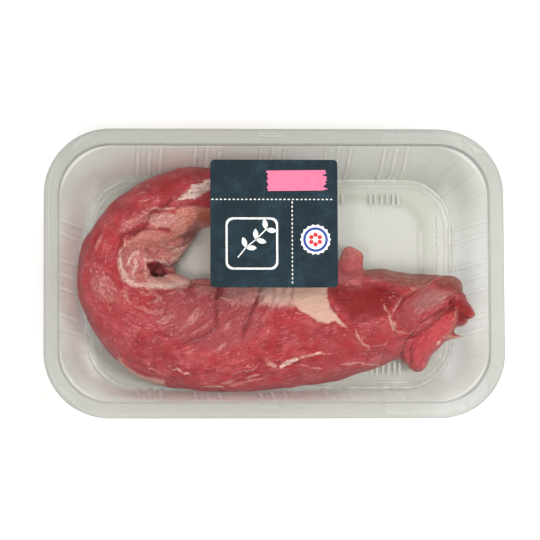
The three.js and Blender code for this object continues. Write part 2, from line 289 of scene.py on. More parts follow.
def lidding_film():
    material, tree, surface = new_material("clear_lidding_film")
    edge_on = add_node(tree, "ShaderNodeLayerWeight", {"Blend": 0.35}).outputs["Facing"]
    alpha = add_node(tree, "ShaderNodeMapRange", {
        "Value": edge_on, "To Min": 0.008, "To Max": 0.25,
    }).outputs["Result"]
    shader = add_node(tree, "ShaderNodeBsdfPrincipled", {
        "Base Color": FILM_GREY, "Roughness": 0.1, "IOR": PET_IOR, "Alpha": alpha,
    })
    tree.links.new(shader.outputs["BSDF"], surface)
    return material


def tray_pet():
    material, tree, surface = new_material("clear_PET_sheet_vacuum_formed")
    place = add_node(tree, "ShaderNodeTexCoord").outputs["Object"]
    marks = {
        name: add_node(tree, "ShaderNodeAttribute", attribute_name=name).outputs["Fac"]
        for name in ("seal", "rim", "bend", "painted_groove_shade", "glint", "steep", "blush", "shaded", "painted_bounce_light", "height")
    }
    by_slope = add_node(tree, "ShaderNodeMapRange", {
        "Value": marks["steep"], "To Min": LEVEL_DENSITY, "To Max": STEEP_DENSITY,
    }).outputs["Result"]
    up_the_wall = add_node(tree, "ShaderNodeMapRange", {
        "Value": marks["height"], "From Min": 5.0, "From Max": 14.0,
    }, interpolation_type="SMOOTHSTEP").outputs["Result"]
    # Faint streaks across the floor, left by drawing the sheet
    streaks = add_node(tree, "ShaderNodeTexWave", {
        "Vector": place, "Scale": 2 * math.pi / (WAVE_ANGLE * STREAK_MM * MM), "Distortion": 0.6,
        "Detail": 1.0,
    }).outputs["Fac"]
    streak_depth = add_node(tree, "ShaderNodeMapRange", {
        "Value": up_the_wall, "To Min": 0.014, "To Max": 0.003,
    }).outputs["Result"]
    streaky = add_node(tree, "ShaderNodeMath", {0: streaks, 1: streak_depth, 2: by_slope},
                       operation="MULTIPLY_ADD").outputs[0]
    # Painted shade: the ring that stands on the ground and the foot of the wall are denser and darker than the
    # rest
    low_shade = add_node(tree, "ShaderNodeMapRange", {
        "Value": marks["height"], "From Min": 0.8, "From Max": 3.0, "To Min": 0.05, "To Max": 0.0,
    }).outputs["Result"]
    foot_shade = add_node(tree, "ShaderNodeMapRange", {
        "Value": marks["height"], "From Min": 2.0, "From Max": 40.0, "To Min": 0.04, "To Max": 0.0,
    }).outputs["Result"]
    by_depth = add_node(tree, "ShaderNodeMath", {0: foot_shade, 1: marks["steep"], 2: streaky},
                        operation="MULTIPLY_ADD").outputs[0]
    density = add_node(tree, "ShaderNodeMath", {0: by_depth, 1: low_shade}, operation="ADD").outputs[0]
    for name, weight in MARK_DENSITY.items():
        density = add_node(tree, "ShaderNodeMath", {0: marks[name], 1: weight, 2: density},
                           operation="MULTIPLY_ADD").outputs[0]
    flange_density = add_node(tree, "ShaderNodeMath", {
        0: marks["shaded"], 1: FLANGE_SHADE, 2: SEALED_DENSITY,
    }, operation="MULTIPLY_ADD").outputs[0]
    alpha = add_node(tree, "ShaderNodeMapRange", {
        "Value": marks["seal"], "To Min": density, "To Max": flange_density,
    }).outputs["Result"]
    some_meat_reflection = add_node(tree, "ShaderNodeMath", {0: marks["blush"], 1: MEAT_REFLECTION_SHARE},
                          operation="MULTIPLY").outputs[0]
    some_groove_shade = add_node(tree, "ShaderNodeMath", {0: marks["painted_groove_shade"], 1: GROOVE_SHADE_SHARE},
                           operation="MULTIPLY").outputs[0]
    colour = PET_FLOOR
    tints = (
        (marks["painted_bounce_light"], PET_BOUNCE_LIGHT), (up_the_wall, PET_WALL), (some_meat_reflection, PET_MEAT_REFLECTION),
        (marks["bend"], PET_BEND_HIGHLIGHT), (some_groove_shade, PET_EDGE_SHADE), (marks["seal"], PET_FLANGE),
        (marks["rim"], PET_EDGE_SHADE), (marks["glint"], PET_GLINT),
    )
    for share, tint in tints:
        colour = add_node(tree, "ShaderNodeMix", {MIX_FACTOR: share, MIX_A: colour, MIX_B: tint},
                          data_type="RGBA").outputs[MIX_RESULT]
    shader = add_node(tree, "ShaderNodeBsdfPrincipled", {
        "Base Color": colour, "Roughness": 0.4, "IOR": PET_IOR, "Specular IOR Level": 0.35, "Alpha": alpha,
    })
    tree.links.new(shader.outputs["BSDF"], surface)
    return material


def painted_highlight_pet():
    """The same sheet painted bright, as a highlight along a narrow ridge or bend."""
    material, tree, surface = new_material("clear_PET_ridges_painted_highlight")
    shader = add_node(tree, "ShaderNodeBsdfPrincipled", {
        "Base Color": PET_GLINT, "Roughness": 0.25, "IOR": PET_IOR, "Alpha": 0.45,
    })
    tree.links.new(shader.outputs["BSDF"], surface)
    return material


# Coated label paper, offset printed: the slate ground has the smudges of a wiped blackboard
SLATE = linear("#061c26")
SLATE_WIPED = linear("#1c3743")
CHALK_WHITE = linear("#e6e6e2")
PRINT_PINK = linear("#e0708f")
PRINT_PINK_DEEP = linear("#c8486f")
PRINT_BLUE = linear("#27428c")
PRINT_RED = linear("#c22c33")
PRINT_WHITE = linear("#f1f1ee")
PAPER_IOR = 1.5


def printed_paper(name, colour, second, patch_mm, patchiness):
    material, tree, surface = new_material(name)
    place = add_node(tree, "ShaderNodeTexCoord").outputs["Object"]
    smudge = add_node(tree, "ShaderNodeTexNoise", {
        "Vector": place, "Scale": 1 / (patch_mm * MM), "Detail": 6.0, "Roughness": 0.68, "Distortion": 0.3,
    }).outputs["Fac"]
    share = add_node(tree, "ShaderNodeMapRange", {
        "Value": smudge, "From Min": 0.42, "From Max": 0.72, "To Min": 0.0, "To Max": patchiness,
    }, interpolation_type="SMOOTHSTEP").outputs["Result"]
    shade = add_node(tree, "ShaderNodeMix", {MIX_FACTOR: share, MIX_A: colour, MIX_B: second},
                     data_type="RGBA").outputs[MIX_RESULT]
    shader = add_node(tree, "ShaderNodeBsdfPrincipled", {
        "Base Color": shade, "Roughness": 0.5, "IOR": PAPER_IOR, "Specular IOR Level": 0.15,
    })
    tree.links.new(shader.outputs["BSDF"], surface)
    return material


def studio_floor():
    material, tree, surface = new_material("matt_white_floor")
    shader = add_node(tree, "ShaderNodeBsdfPrincipled", {
        "Base Color": linear("#f7f7f6"), "Roughness": 0.9, "Specular IOR Level": 0.1,
    })
    tree.links.new(shader.outputs["BSDF"], surface)
    return material


# Meshes

def new_piece(name, points_mm, faces, material, smooth=True):
    mesh = bpy.data.meshes.new(name)
    mesh.from_pydata((np.asarray(points_mm) * MM).tolist(), [], faces)
    mesh.polygons.foreach_set("use_smooth", [smooth] * len(mesh.polygons))
    mesh.materials.append(material)
    piece = bpy.data.objects.new(name, mesh)
    bpy.context.scene.collection.objects.link(piece)
    return piece


def ring_faces(rings, count, start_centre, end_centre):
    """Faces that join rings of count points each and close both ends with a fan."""
    faces = []
    for ring in range(rings - 1):
        here, above = ring * count, (ring + 1) * count
        for i in range(count):
            after = (i + 1) % count
            faces.append((here + i, here + after, above + after, above + i))
    last = (rings - 1) * count
    for i in range(count):
        after = (i + 1) % count
        faces.append((start_centre, after, i))
        faces.append((end_centre, last + i, last + after))
    return faces


def joined(parts):
    """Several shapes, each its points and faces, as the points and faces of one mesh."""
    points, faces = [], []
    for some_points, some_faces in parts:
        faces += [tuple(len(points) + i for i in face) for face in some_faces]
        points += list(some_points)
    return points, faces


def prism(outline, bottom, top):
    """A flat piece with that outline, closed all round."""
    count = len(outline)
    points = [(x, y, bottom) for x, y in outline] + [(x, y, top) for x, y in outline]
    faces = [tuple(range(count - 1, -1, -1)), tuple(range(count, 2 * count))]
    faces += [(i, (i + 1) % count, count + (i + 1) % count, count + i) for i in range(count)]
    return points, faces


def rounded_outline(half_x, half_y, radius, steps=16):
    outline = []
    for quarter in range(4):
        angle = quarter * math.pi / 2
        sign_x = 1 if quarter in (0, 3) else -1
        sign_y = 1 if quarter in (0, 1) else -1
        for step in range(steps + 1):
            turn = angle + math.pi / 2 * step / steps
            outline.append((sign_x * (half_x - radius) + radius * math.cos(turn),
                            sign_y * (half_y - radius) + radius * math.sin(turn)))
    return outline


def smooth_line(keys, steps):
    """Points at even shares of a centripetal curve through the keys, one row of numbers each."""
    keys = np.asarray(keys, float)
    ends = np.vstack((2 * keys[0] - keys[1], keys, 2 * keys[-1] - keys[-2]))
    gaps = np.linalg.norm(np.diff(ends[:, :3], axis=0), axis=1) ** 0.5
    knots = np.concatenate(([0], np.cumsum(gaps)))
    at = np.linspace(knots[1], knots[-2], steps)
    line = []
    for t in at:
        k = min(max(int(np.searchsorted(knots, t, side="right")) - 1, 1), len(keys) - 1)
        a, b, c, d = knots[k - 1:k + 3]
        p, q, r, s = ends[k - 1:k + 3]
        pq = p + (q - p) * (t - a) / (b - a)
        qr = q + (r - q) * (t - b) / (c - b)
        rs = r + (s - r) * (t - c) / (d - c)
        pqr = pq + (qr - pq) * (t - a) / (c - a)
        qrs = qr + (rs - qr) * (t - b) / (d - b)
        line.append(pqr + (qrs - pqr) * (t - b) / (c - b))
    return np.array(line)


# Tenderloin: the part's muscles and smaller ones between them, each a sweep along stations of place
# (x, y, z), half width and half height

LOIN = [
    (88, -14, 16, 8, 10), (77, -17, 18, 15, 15), (64, -20, 19.5, 19.5, 17.5), (50, -21.5, 20.5, 23.5, 19.5),
    (35, -22.6, 21.5, 26, 20.5), (18, -25.6, 21.8, 27.4, 21), (-8, -29.5, 21.8, 28, 21),
    (-34, -31.5, 21.5, 26.7, 20.5), (-57, -27.5, 21, 25.2, 20), (-74, -15.5, 20.5, 21.9, 19),
    (-85.2, -1.5, 20, 15.2, 18.5), (-85.7, 10, 19.5, 12.7, 18), (-81.1, 19.6, 19, 12, 17.5),
    (-73.6, 29.2, 18.5, 12, 17), (-62.2, 37.6, 18, 11, 16.5), (-47.5, 45, 17.5, 10.3, 15.5),
    (-32.5, 47.3, 16.5, 9.2, 14), (-17, 47.8, 14.5, 8.5, 12), (-3, 46, 12, 6, 8),
]
SIDE_MUSCLE = [
    (-69, 14, 19, 10, 15), (-64.5, 22, 18.5, 11.5, 15.5), (-56, 29, 18.5, 12, 15.5), (-45, 34, 18, 12, 15),
    (-33, 37, 17, 11.4, 14), (-17, 38, 15, 10.5, 12), (-3, 39, 12, 7.5, 8),
]
LOOSE_LOBE = [(-62, 7, 12, 5.5, 8), (-55, 12, 12.5, 6.6, 9), (-47, 20.5, 12, 5.2, 8), (-40, 28, 11, 4, 6)]
MUSCLE_HEAD = [(-72, -1, 23, 8, 12), (-69.5, 7, 24, 10.5, 14), (-65.5, 16, 22.5, 8.5, 13)]
CHAIN = [
    (-76, -37, 11, 4, 7), (-62, -44.8, 11, 7.6, 8), (-36, -49.2, 12, 8, 8), (-8, -49.2, 12, 8.4, 8),
    (18, -46, 12.5, 8.6, 8.5), (40, -41.2, 13, 7.6, 9), (57, -36.4, 14, 5.9, 8), (67, -31, 15, 3, 6),
]
# The thick arm's upper edge, which the head lobe rests against
INNER_EDGE = [
    (-62, -1, 15, 4, 7), (-52, -3, 16, 5.5, 7.5), (-43, -6.4, 16, 5.6, 7.5), (-33.5, -6.2, 16, 5.8, 7.5),
    (-22, -9, 15, 5, 7),
]
PIT_BED = [(-63, 8, 12, 6, 7), (-57, 3, 12, 6, 7), (-50, 0, 11, 5, 6)]
EDGE_MUSCLE = [
    (36, -1.5, 23, 5, 7), (52, -3.4, 26, 7.5, 10), (68, -6.7, 27.5, 8, 11.5), (84, -7.2, 26, 7.5, 11),
    (91, -9, 21, 5.4, 9),
]
FOLDED_SLAB = [
    (93.2, -10.2, 32.5, 4.8, 5.5), (87, -7.9, 36, 7.7, 5.6), (78, -13.2, 38, 9, 5.6),
    (69, -20.5, 36.4, 9.2, 5.2), (58.5, -27.2, 31, 8, 4.5),
]
HANGING_FLAP = [
    (90, -13.5, 27, 5.5, 7), (86, -21, 28.5, 7.4, 8), (78.3, -29.7, 25.5, 7, 9), (73.4, -38, 20, 5.4, 8.5),
    (71.6, -47.6, 14, 3.8, 6.5),
]
FLAP_LOBE = [(72, -30, 24, 5, 7), (68.5, -36, 20, 5, 7.5), (66.2, -43, 14, 3, 6)]
HIDDEN_TURN = [
    (88, -9, 26, 7, 9), (92.5, -15, 28, 5.5, 9), (93.5, -21, 27, 4.6, 7.5), (92.4, -25.4, 25, 2.6, 5),
]
TURN_TIP = [
    (91, -12, 30, 3.6, 6), (94.4, -16.4, 33, 4.2, 5), (97.6, -19.2, 35, 3.6, 3.5), (101.4, -20, 36, 1.2, 1.6),
]
SMALL_FLAP = [
    (38.2, -6, 24, 7.4, 5), (38.2, 4, 22, 7.4, 4.5), (39.6, 10.4, 19, 6.6, 3.6), (41.7, 15.4, 17.5, 4.6, 2.4),
]
# The low roll that lies between the pale head and the side muscle
ROLL = [(-75, 16, 23, 4, 9), (-69, 18.5, 25, 5.5, 11.5), (-61, 19.5, 25, 5.5, 11), (-53, 18.5, 21, 4.5, 8)]
SPIKE = [
    (80, -29.5, 25, 3.4, 2.6), (87.2, -29.8, 26, 2.4, 1.6), (91.3, -30.1, 26.5, 1.3, 1.1),
    (96.1, -30.5, 27, 0.5, 0.5),
]
# What fills the hollow over the pit, and the groove beside the folded slab
PIT_LIP = [(-67, 12, 22, 5, 9), (-60.5, 11.8, 21, 4.6, 8.5), (-54.5, 11, 18, 4.4, 8), (-49, 13, 15, 4, 7)]
SLAB_BED = [(85, -4.5, 32, 5, 6), (75, -9.5, 34, 6.5, 6), (65, -15.5, 31.5, 6.5, 5.5)]

# Each muscle with its steps along, its sides, and the power that rounds its section: 1 is an ellipse, and
# less is squarer
MUSCLES = (
    (LOIN, 150, 64, 0.92),
    (SIDE_MUSCLE, 60, 40, 1),
    (LOOSE_LOBE, 30, 28, 1),
    (MUSCLE_HEAD, 30, 40, 1),
    (CHAIN, 70, 32, 1),
    (INNER_EDGE, 40, 26, 1),
    (PIT_BED, 24, 24, 1),
    (PIT_LIP, 30, 26, 1),
    (SLAB_BED, 30, 26, 1),
    (EDGE_MUSCLE, 40, 30, 1),
    (FOLDED_SLAB, 30, 36, 0.85),
    (HANGING_FLAP, 40, 30, 1),
    (FLAP_LOBE, 24, 24, 1),
    (HIDDEN_TURN, 24, 26, 1),
    (TURN_TIP, 20, 20, 1),
    (SMALL_FLAP, 24, 24, 0.7),
    (ROLL, 30, 26, 1),
    (SPIKE, 20, 12, 1),
)
VOXEL_MM = 0.8
SMOOTHING_PASSES = 5
# The grain is worked out at steps of this length, and each muscle's starts this far from the one before
GRAIN_STEP_MM = 2.5
GRAIN_APART_MM = 400.0


def muscle_axis(stations, steps):
    line = smooth_line(stations, steps)
    along = np.gradient(line[:, :3], axis=0)
    along /= np.linalg.norm(along, axis=1)[:, None]
    side = np.stack((-along[:, 1], along[:, 0], np.zeros(steps)), axis=1)
    side /= np.linalg.norm(side, axis=1)[:, None]
    return line, along, side


def muscle_rings(stations, steps, sides, fullness):
    """Rings along a muscle, with domed ends, as in the part."""
    line, _, side = muscle_axis(stations, steps + 1)
    travelled = np.concatenate(([0], np.cumsum(np.linalg.norm(np.diff(line[:, :3], axis=0), axis=1))))
    angle = np.linspace(0, 2 * math.pi, sides, endpoint=False)
    across = np.sign(np.cos(angle)) * np.abs(np.cos(angle)) ** fullness
    up = np.sign(np.sin(angle)) * np.abs(np.sin(angle)) ** fullness
    rings = []
    for k in range(1, steps):
        full = 1.0
        for distance, end in ((travelled[k], line[0]), (travelled[-1] - travelled[k], line[-1])):
            reach = min(1.0, distance / min(end[3], end[4]))
            full *= math.sqrt(1 - (1 - reach) ** 2)
        ring = line[k, :3] + np.outer(across * line[k, 3] * full, side[k])
        ring[:, 2] += up * line[k, 4] * full
        rings.append(ring)
    points = np.vstack(rings + [line[:1, :3], line[-1:, :3]])
    return points, ring_faces(len(rings), sides, len(points) - 2, len(points) - 1)


def joined_muscles():
    """All muscles as one skin, remeshed to even faces."""
    points, faces = joined(muscle_rings(*muscle) for muscle in MUSCLES)
    mesh = bpy.data.meshes.new("muscles")
    mesh.from_pydata((np.array(points) * MM).tolist(), [], faces)
    rough = bpy.data.objects.new("muscles", mesh)
    bpy.context.scene.collection.objects.link(rough)
    remesh = rough.modifiers.new("even skin", "REMESH")
    remesh.mode = "VOXEL"
    remesh.voxel_size = VOXEL_MM * MM
    even = rough.evaluated_get(bpy.context.evaluated_depsgraph_get()).to_mesh()
    skin = np.zeros(len(even.vertices) * 3)
    even.vertices.foreach_get("co", skin)
    corners = [tuple(polygon.vertices) for polygon in even.polygons]
    edges = np.zeros(len(even.edges) * 2, int)
    even.edges.foreach_get("vertices", edges)
    bpy.data.objects.remove(rough)
    return skin.reshape(-1, 3) / MM, corners, edges.reshape(-1, 2)


def relaxed(points, edges, passes, share=0.5):
    """Points drawn towards the mean of their neighbours."""
    count = np.bincount(edges.ravel(), minlength=len(points))[:, None]
    for _ in range(passes):
        total = np.zeros_like(points)
        for axis in range(points.shape[1]):
            total[:, axis] += np.bincount(edges[:, 0], points[edges[:, 1], axis], len(points))
            total[:, axis] += np.bincount(edges[:, 1], points[edges[:, 0], axis], len(points))
        points = points + share * (total / count - points)
    return points


def skin_normals(points, corners):
    quads = np.array([c if len(c) == 4 else c + (c[2],) for c in corners])
    a, b, c, d = (points[quads[:, k]] for k in range(4))
    facing = np.cross(c - a, d - b)
    normals = np.zeros_like(points)
    for k in range(4):
        for axis in range(3):
            normals[:, axis] += np.bincount(quads[:, k], facing[:, axis], len(points))
    return normals / np.maximum(np.linalg.norm(normals, axis=1), 1e-9)[:, None]


def grain_of(points):
    """Each point's place in its own muscle: along it, across it and up from its middle line."""
    best = np.full(len(points), np.inf)
    grain = np.zeros_like(points)
    start = 0.0
    for stations, _, _, _ in MUSCLES:
        length = np.linalg.norm(np.diff(np.array(stations)[:, :3], axis=0), axis=1).sum()
        steps = max(6, int(length / GRAIN_STEP_MM))
        line, along, side = muscle_axis(stations, steps)
        travelled = np.concatenate(([0], np.cumsum(np.linalg.norm(np.diff(line[:, :3], axis=0), axis=1))))
        reach = np.full(len(points), np.inf)
        nearest = np.zeros(len(points), int)
        for k in range(steps):
            offset = points - line[k, :3]
            lying = offset @ along[k]
            wide = (offset @ side[k]) / line[k, 3]
            high = offset[:, 2] / line[k, 4]
            distance = wide ** 2 + high ** 2 + (lying / line[k, 4]) ** 2
            closer = distance < reach
            reach[closer] = distance[closer]
            nearest[closer] = k
        offset = points - line[nearest, :3]
        lying = np.einsum("ij,ij->i", offset, along[nearest])
        other = np.clip(nearest + np.where(lying > 0, 1, -1), 0, steps - 1)
        beyond = np.einsum("ij,ij->i", points - line[other, :3], along[other])
        gap = np.where(np.abs(lying - beyond) < 1e-6, 1, lying - beyond)
        share = np.where(other == nearest, 0, np.clip(lying / gap, 0, 1))
        run = travelled[nearest] + (travelled[other] - travelled[nearest]) * share
        run += np.where(other == nearest, lying, 0)
        closer = reach < best
        best[closer] = reach[closer]
        across = np.einsum("ij,ij->i", offset, side[nearest])
        here = np.stack((start + run, start + across, offset[:, 2]), axis=1)
        grain[closer] = here[closer]
        start += GRAIN_APART_MM
    return grain


# Marks on the meat, as seen from above: lines with a half width, and patches with an outline. Relief is in
# millimetres, up for fat and down for a crease, and each other word is how far a finish covers the mark.

def distance_to_line(points, path):
    """Distance from each point to a path in plan, and how far along the path that is, from 0 to 1."""
    path = np.asarray(path, float)
    lengths = np.linalg.norm(np.diff(path, axis=0), axis=1)
    nearest = np.full(len(points), np.inf)
    at = np.zeros(len(points))
    for k, length in enumerate(lengths):
        span = path[k + 1] - path[k]
        share = np.clip(((points - path[k]) @ span) / length ** 2, 0, 1)
        distance = np.linalg.norm(points - path[k] - share[:, None] * span, axis=1)
        closer = distance < nearest
        nearest[closer] = distance[closer]
        at[closer] = (lengths[:k].sum() + share[closer] * length) / lengths.sum()
    return nearest, at


def inside_outline(points, outline):
    outline = np.asarray(outline, float)
    inside = np.zeros(len(points), bool)
    for (x1, y1), (x2, y2) in zip(outline, np.roll(outline, -1, axis=0)):
        spans = (y1 > points[:, 1]) != (y2 > points[:, 1])
        rise = y2 - y1 if y2 != y1 else 1.0
        inside ^= spans & (points[:, 0] < (x2 - x1) * (points[:, 1] - y1) / rise + x1)
    return inside


LINES = (
    # creases across the thick arm, with painted shade in them and painted highlights beside them
    ([(-28, -5.9), (-29.2, -12.4), (-29.2, -17.9), (-29, -24.9), (-32.3, -28.9), (-39, -32.9), (-47, -35.4)],
     1.1, -1.3, {"painted_crease_shade": 0.6}),
    ([(-26, -8), (-27, -14), (-26.8, -22), (-29, -28)], 1.6, 0.5, {"pale": 0.3}),
    ([(-6.7, -4), (-9.3, -12.7), (-13.4, -21.9), (-14.9, -27), (-16, -32)], 1.1, -1.4, {"painted_crease_shade": 0.65}),
    ([(-3.9, -10), (-8, -19), (-11.4, -27)], 1.6, 0.4, {"pale": 0.3}),
    ([(-21.5, -31), (-24, -36), (-27.5, -41)], 1.2, -0.6, {"painted_crease_shade": 0.35}),
    ([(-16.9, -7), (-19.9, -17.5), (-20.9, -27.5)], 1.5, -0.5, {"painted_crease_shade": 0.25}),
    ([(-12.4, -6), (-14.9, -14), (-18.4, -23.5)], 1.5, 0.4, {"pale": 0.25}),
    ([(22.9, -26.4), (21.1, -29.4), (20.4, -31.9)], 1.2, -0.8, {"painted_crease_shade": 0.5}),
    # pleats of the silver skin
    ([(-5.4, 1), (-6.4, -12)], 1.0, -0.5, {"pink": 0.4}),
    ([(-3.3, 1), (-3.8, -14)], 0.9, 0.5, {"fat": 0.6}),
    ([(-0.6, 1), (-0.8, -12)], 0.9, -0.5, {"pink": 0.5}),
    ([(1.4, 1), (1.2, -14)], 1.0, 0.5, {"fat": 0.8}),
    ([(3.6, 1), (3.6, -13)], 0.7, -0.5, {"pink": 0.45}),
    ([(5.6, 1), (5.6, -14.5)], 1.0, 0.5, {"fat": 0.8}),
    ([(8.8, 0), (8.4, -14)], 0.7, -0.8, {"painted_crease_shade": 0.45}),
    ([(14.2, -36.6), (11.2, -39.1)], 1.0, -0.6, {"painted_crease_shade": 0.4}),
    # pale cords and streaks of sinew
    ([(2.6, -46.2), (6, -44), (9.2, -42.7), (11.4, -41.9)], 1.4, 0.4, {"white": 0.7}),
    ([(11, -42), (14.4, -40.9), (21.6, -39.9), (24.9, -39.9)], 0.7, 0.3, {"fat": 0.6}),
    ([(20, -39.6), (23.6, -39.7)], 1.2, 0.2, {"white": 0.5}),
    ([(-4.4, -44.5), (-1.4, -45.1), (1.1, -45.9)], 1.7, 0.3, {"fat": 0.5}),
    ([(2.4, -48), (9, -45.3), (15, -43.5), (24, -42)], 1.2, -0.6, {"painted_crease_shade": 0.3}),
    ([(-21.3, -50), (-14.1, -47.9), (-9.4, -46.9)], 0.8, 0.2, {"fat": 0.42}),
    ([(-22, -51.4), (-15, -49.3), (-8, -48)], 0.9, -0.5, {"painted_crease_shade": 0.35}),
    ([(-15.2, -52), (-11.1, -50.7), (-7.3, -49.6)], 0.9, 0.2, {"fat": 0.5}),
    ([(-27.1, -54.2), (-23.3, -53.7), (-19.8, -53.2)], 0.9, 0.2, {"fat": 0.45}),
    ([(-38.4, -57), (-30, -56), (-21.8, -54.6), (-12, -52.6)], 0.9, -0.5, {"painted_crease_shade": 0.35}),
    ([(-37.5, -55.8), (-31.5, -55.9), (-25.5, -55.8)], 0.9, 0.2, {"fat": 0.6}),
    ([(-27.1, -11.1), (-24.9, -12), (-22, -12.7)], 0.8, 0.1, {"fat": 0.6}),
    ([(16.5, -46.2), (19.4, -46.8), (22.7, -47)], 0.7, 0.1, {"fat": 0.5}),
    ([(32.5, -44.7), (38.6, -43.8), (44.7, -43.5), (53.5, -44.7)], 0.8, 0.1, {"fat": 0.5}),
    ([(39.9, -27.9), (42, -32.8), (44.2, -35), (47.2, -35.9)], 0.8, 0.2, {"fat": 0.6}),
    ([(47, -35.8), (52, -35.6), (57, -33.4)], 0.8, 0.1, {"pale": 0.4}),
    ([(54.4, -14), (55, -17.5), (57.6, -20.5)], 0.7, 0.3, {"fat": 0.6}),
    ([(63.4, -10.2), (61.9, -13.8), (59.7, -17.5), (58.4, -20.4)], 0.8, 0.3, {"fat": 0.5}),
    ([(57.8, -20.4), (57.7, -23), (58.8, -26.4), (61.1, -28.4)], 0.9, 0.3, {"fat": 0.65}),
    ([(58.4, -24), (60.2, -26)], 1.6, 0.2, {"fat": 0.6}),
    ([(60.7, -28.2), (63.2, -29.1), (67.2, -29.2), (70.2, -27.9)], 0.8, 0.1, {"fat": 0.4}),
    ([(67.9, -15.4), (72.9, -12.9), (79.9, -12.2)], 2.6, 0.2, {"mauve": 0.7, "pale": 0.2}),
    # the folded end
    ([(92.7, -12.5), (88, -14.7), (83.4, -18.5), (77.9, -21.2), (73.7, -23.4), (70.4, -27.7)], 0.9, -1.0,
     {"painted_crease_shade": 0.55}),
    ([(70.4, -27.7), (66.4, -32), (64.6, -37), (64, -41)], 0.9, -0.9, {"painted_crease_shade": 0.6}),
    ([(69.6, -34), (68.4, -38.5), (68.9, -43)], 0.8, -0.8, {"painted_crease_shade": 0.45}),
    ([(90.8, -17.3), (90.4, -23.2), (88, -27.6), (84.8, -31.5)], 2.2, 0.2, {"tan": 0.55}),
    ([(85, -19), (80, -26.5), (75.5, -34)], 2.2, 0.5, {"pink": 0.3}),
    ([(84, -30.4), (90, -30.7), (97, -30.9)], 1.6, 0, {"tan": 0.8, "fat": 0.4}),
    ([(80.9, -33.8), (82.9, -32.7)], 1.2, 0.2, {"white": 0.55}),
    ([(36.6, -19.5), (38.6, -22.3), (43.1, -23), (46.9, -22.6), (53.6, -20)], 1.3, -0.7, {"painted_crease_shade": 0.5}),
    # the inner side of the bend
    ([(-51.1, 39.2), (-55.3, 34.1), (-60.4, 32.5), (-63.6, 28.1), (-65.9, 24.4), (-69.6, 21.6),
      (-75.7, 20.7), (-76.6, 16), (-78, 11.4)], 1.0, -1.0, {"painted_crease_shade": 0.6}),
    ([(-61.9, 32.9), (-60.5, 34.3), (-57.7, 33.4), (-53.6, 33.4), (-49.3, 33.9)], 0.7, 0.3, {"fat": 0.8}),
    ([(-74.3, 19.3), (-75, 14.7), (-77, 11.4), (-77.5, 6.8), (-76.1, 0.3), (-72.4, -3.8), (-67.8, -5.7)],
     1.1, -0.7, {"fat": 0.55}),
    ([(-77.5, 8.7), (-77, 2.7), (-74.5, -2.3), (-69, -5.6), (-63, -5.2)], 2.3, 0.4, {"white": 0.52}),
    ([(-68, -5.6), (-62, -5.9), (-55, -5.6), (-48, -4.6), (-43.5, -3)], 2.0, 0, {"white": 0.48}),
    ([(-74, 4), (-71.5, 8.5), (-67.5, 11.5)], 1.6, 0.3, {"white": 0.5}),
    ([(-70.5, 1.5), (-68.5, 5.5), (-69.5, 8)], 1.2, 0.3, {"white": 0.5}),
    ([(-64.2, 10.5), (-64.4, 4.5), (-64.4, -2)], 1.4, 0.3, {"white": 0.4}),
    ([(-68.5, -3.5), (-66.5, 1.5)], 1.0, -0.4, {"rosy": 0.5}),
    ([(-73.5, 0.5), (-72, 5)], 1.0, -0.4, {"rosy": 0.5}),
    ([(-68.8, 39.4), (-67.1, 41.2), (-65.1, 41.8), (-63.6, 40.4)], 0.6, 0.2, {"fat": 0.5}),
    ([(-68.8, 36.2), (-65.1, 37.4), (-61.9, 38)], 0.6, 0.2, {"fat": 0.5}),
    ([(-70.6, 43), (-68.1, 45), (-65.6, 45)], 0.6, 0.2, {"fat": 0.45}),
    ([(-41.9, 19.8), (-42.4, 15.7), (-45.9, 11.7), (-50.4, 9.1), (-53.5, 7.1)], 0.8, 0.4, {"fat": 0.6}),
    ([(-57.5, 17.2), (-55, 14.7), (-51.5, 15.2), (-48.4, 13.2)], 0.8, 0.4, {"fat": 0.6}),
    ([(-53.9, -10), (-48.9, -8.5), (-43.9, -10.5)], 0.8, 0.1, {"pale": 0.6}),
    ([(-51.5, -47.4), (-48.5, -46.9), (-44.4, -48.9), (-41.4, -50.9)], 0.8, 0.2, {"white": 0.5}),
    ([(-57.1, 23.9), (-54.1, 22.9), (-51.6, 20.9)], 1.2, -0.5, {"painted_crease_shade": 0.4}),
    ([(-63.5, 7.2), (-60, 8.3), (-56, 8), (-52.8, 6.4)], 1.0, 0.4, {"white": 0.5}),
    # painted shade between the lobes over the pit
    ([(-65, 13.5), (-61, 11.8), (-57, 12.6)], 2.2, -0.5, {"painted_crease_shade": 0.42}),
    ([(-41.8, 0.8), (-42.4, -2.5), (-42, -6.8)], 0.8, -0.9, {"painted_crease_shade": 0.6}),
    ([(-36.8, 24.5), (-40.9, 21.8), (-44.4, 17.6), (-48, 13)], 1.3, 0.3, {"orange": 0.3}),
    ([(-38.6, 23.4), (-41.5, 19.4), (-45, 15.2), (-49, 11.5), (-53, 8.6)], 1.2, 0.6, {"fat": 0.6}),
    ([(-42.4, 18.8), (-45.4, 15.7), (-49.2, 14.2), (-52.5, 12.2)], 1.3, 0.3, {"fat": 0.6}),
    ([(-72.9, 6.5), (-70.4, 3.5), (-71.4, -0.5), (-67.9, -3)], 1.2, 0.2, {"fat": 0.6}),
    ([(-89.6, 6.7), (-86.6, 3.7), (-87.6, -0.3), (-90.6, -3.8)], 1.2, -0.5, {"painted_crease_shade": 0.3}),
    ([(-68.8, 41.9), (-64.3, 39.9), (-61.8, 36.8)], 1.1, -0.5, {"painted_crease_shade": 0.3}),
    ([(-82.7, 21.9), (-78.2, 19.9), (-74.2, 18.9)], 1.1, -0.5, {"painted_crease_shade": 0.3}),
)
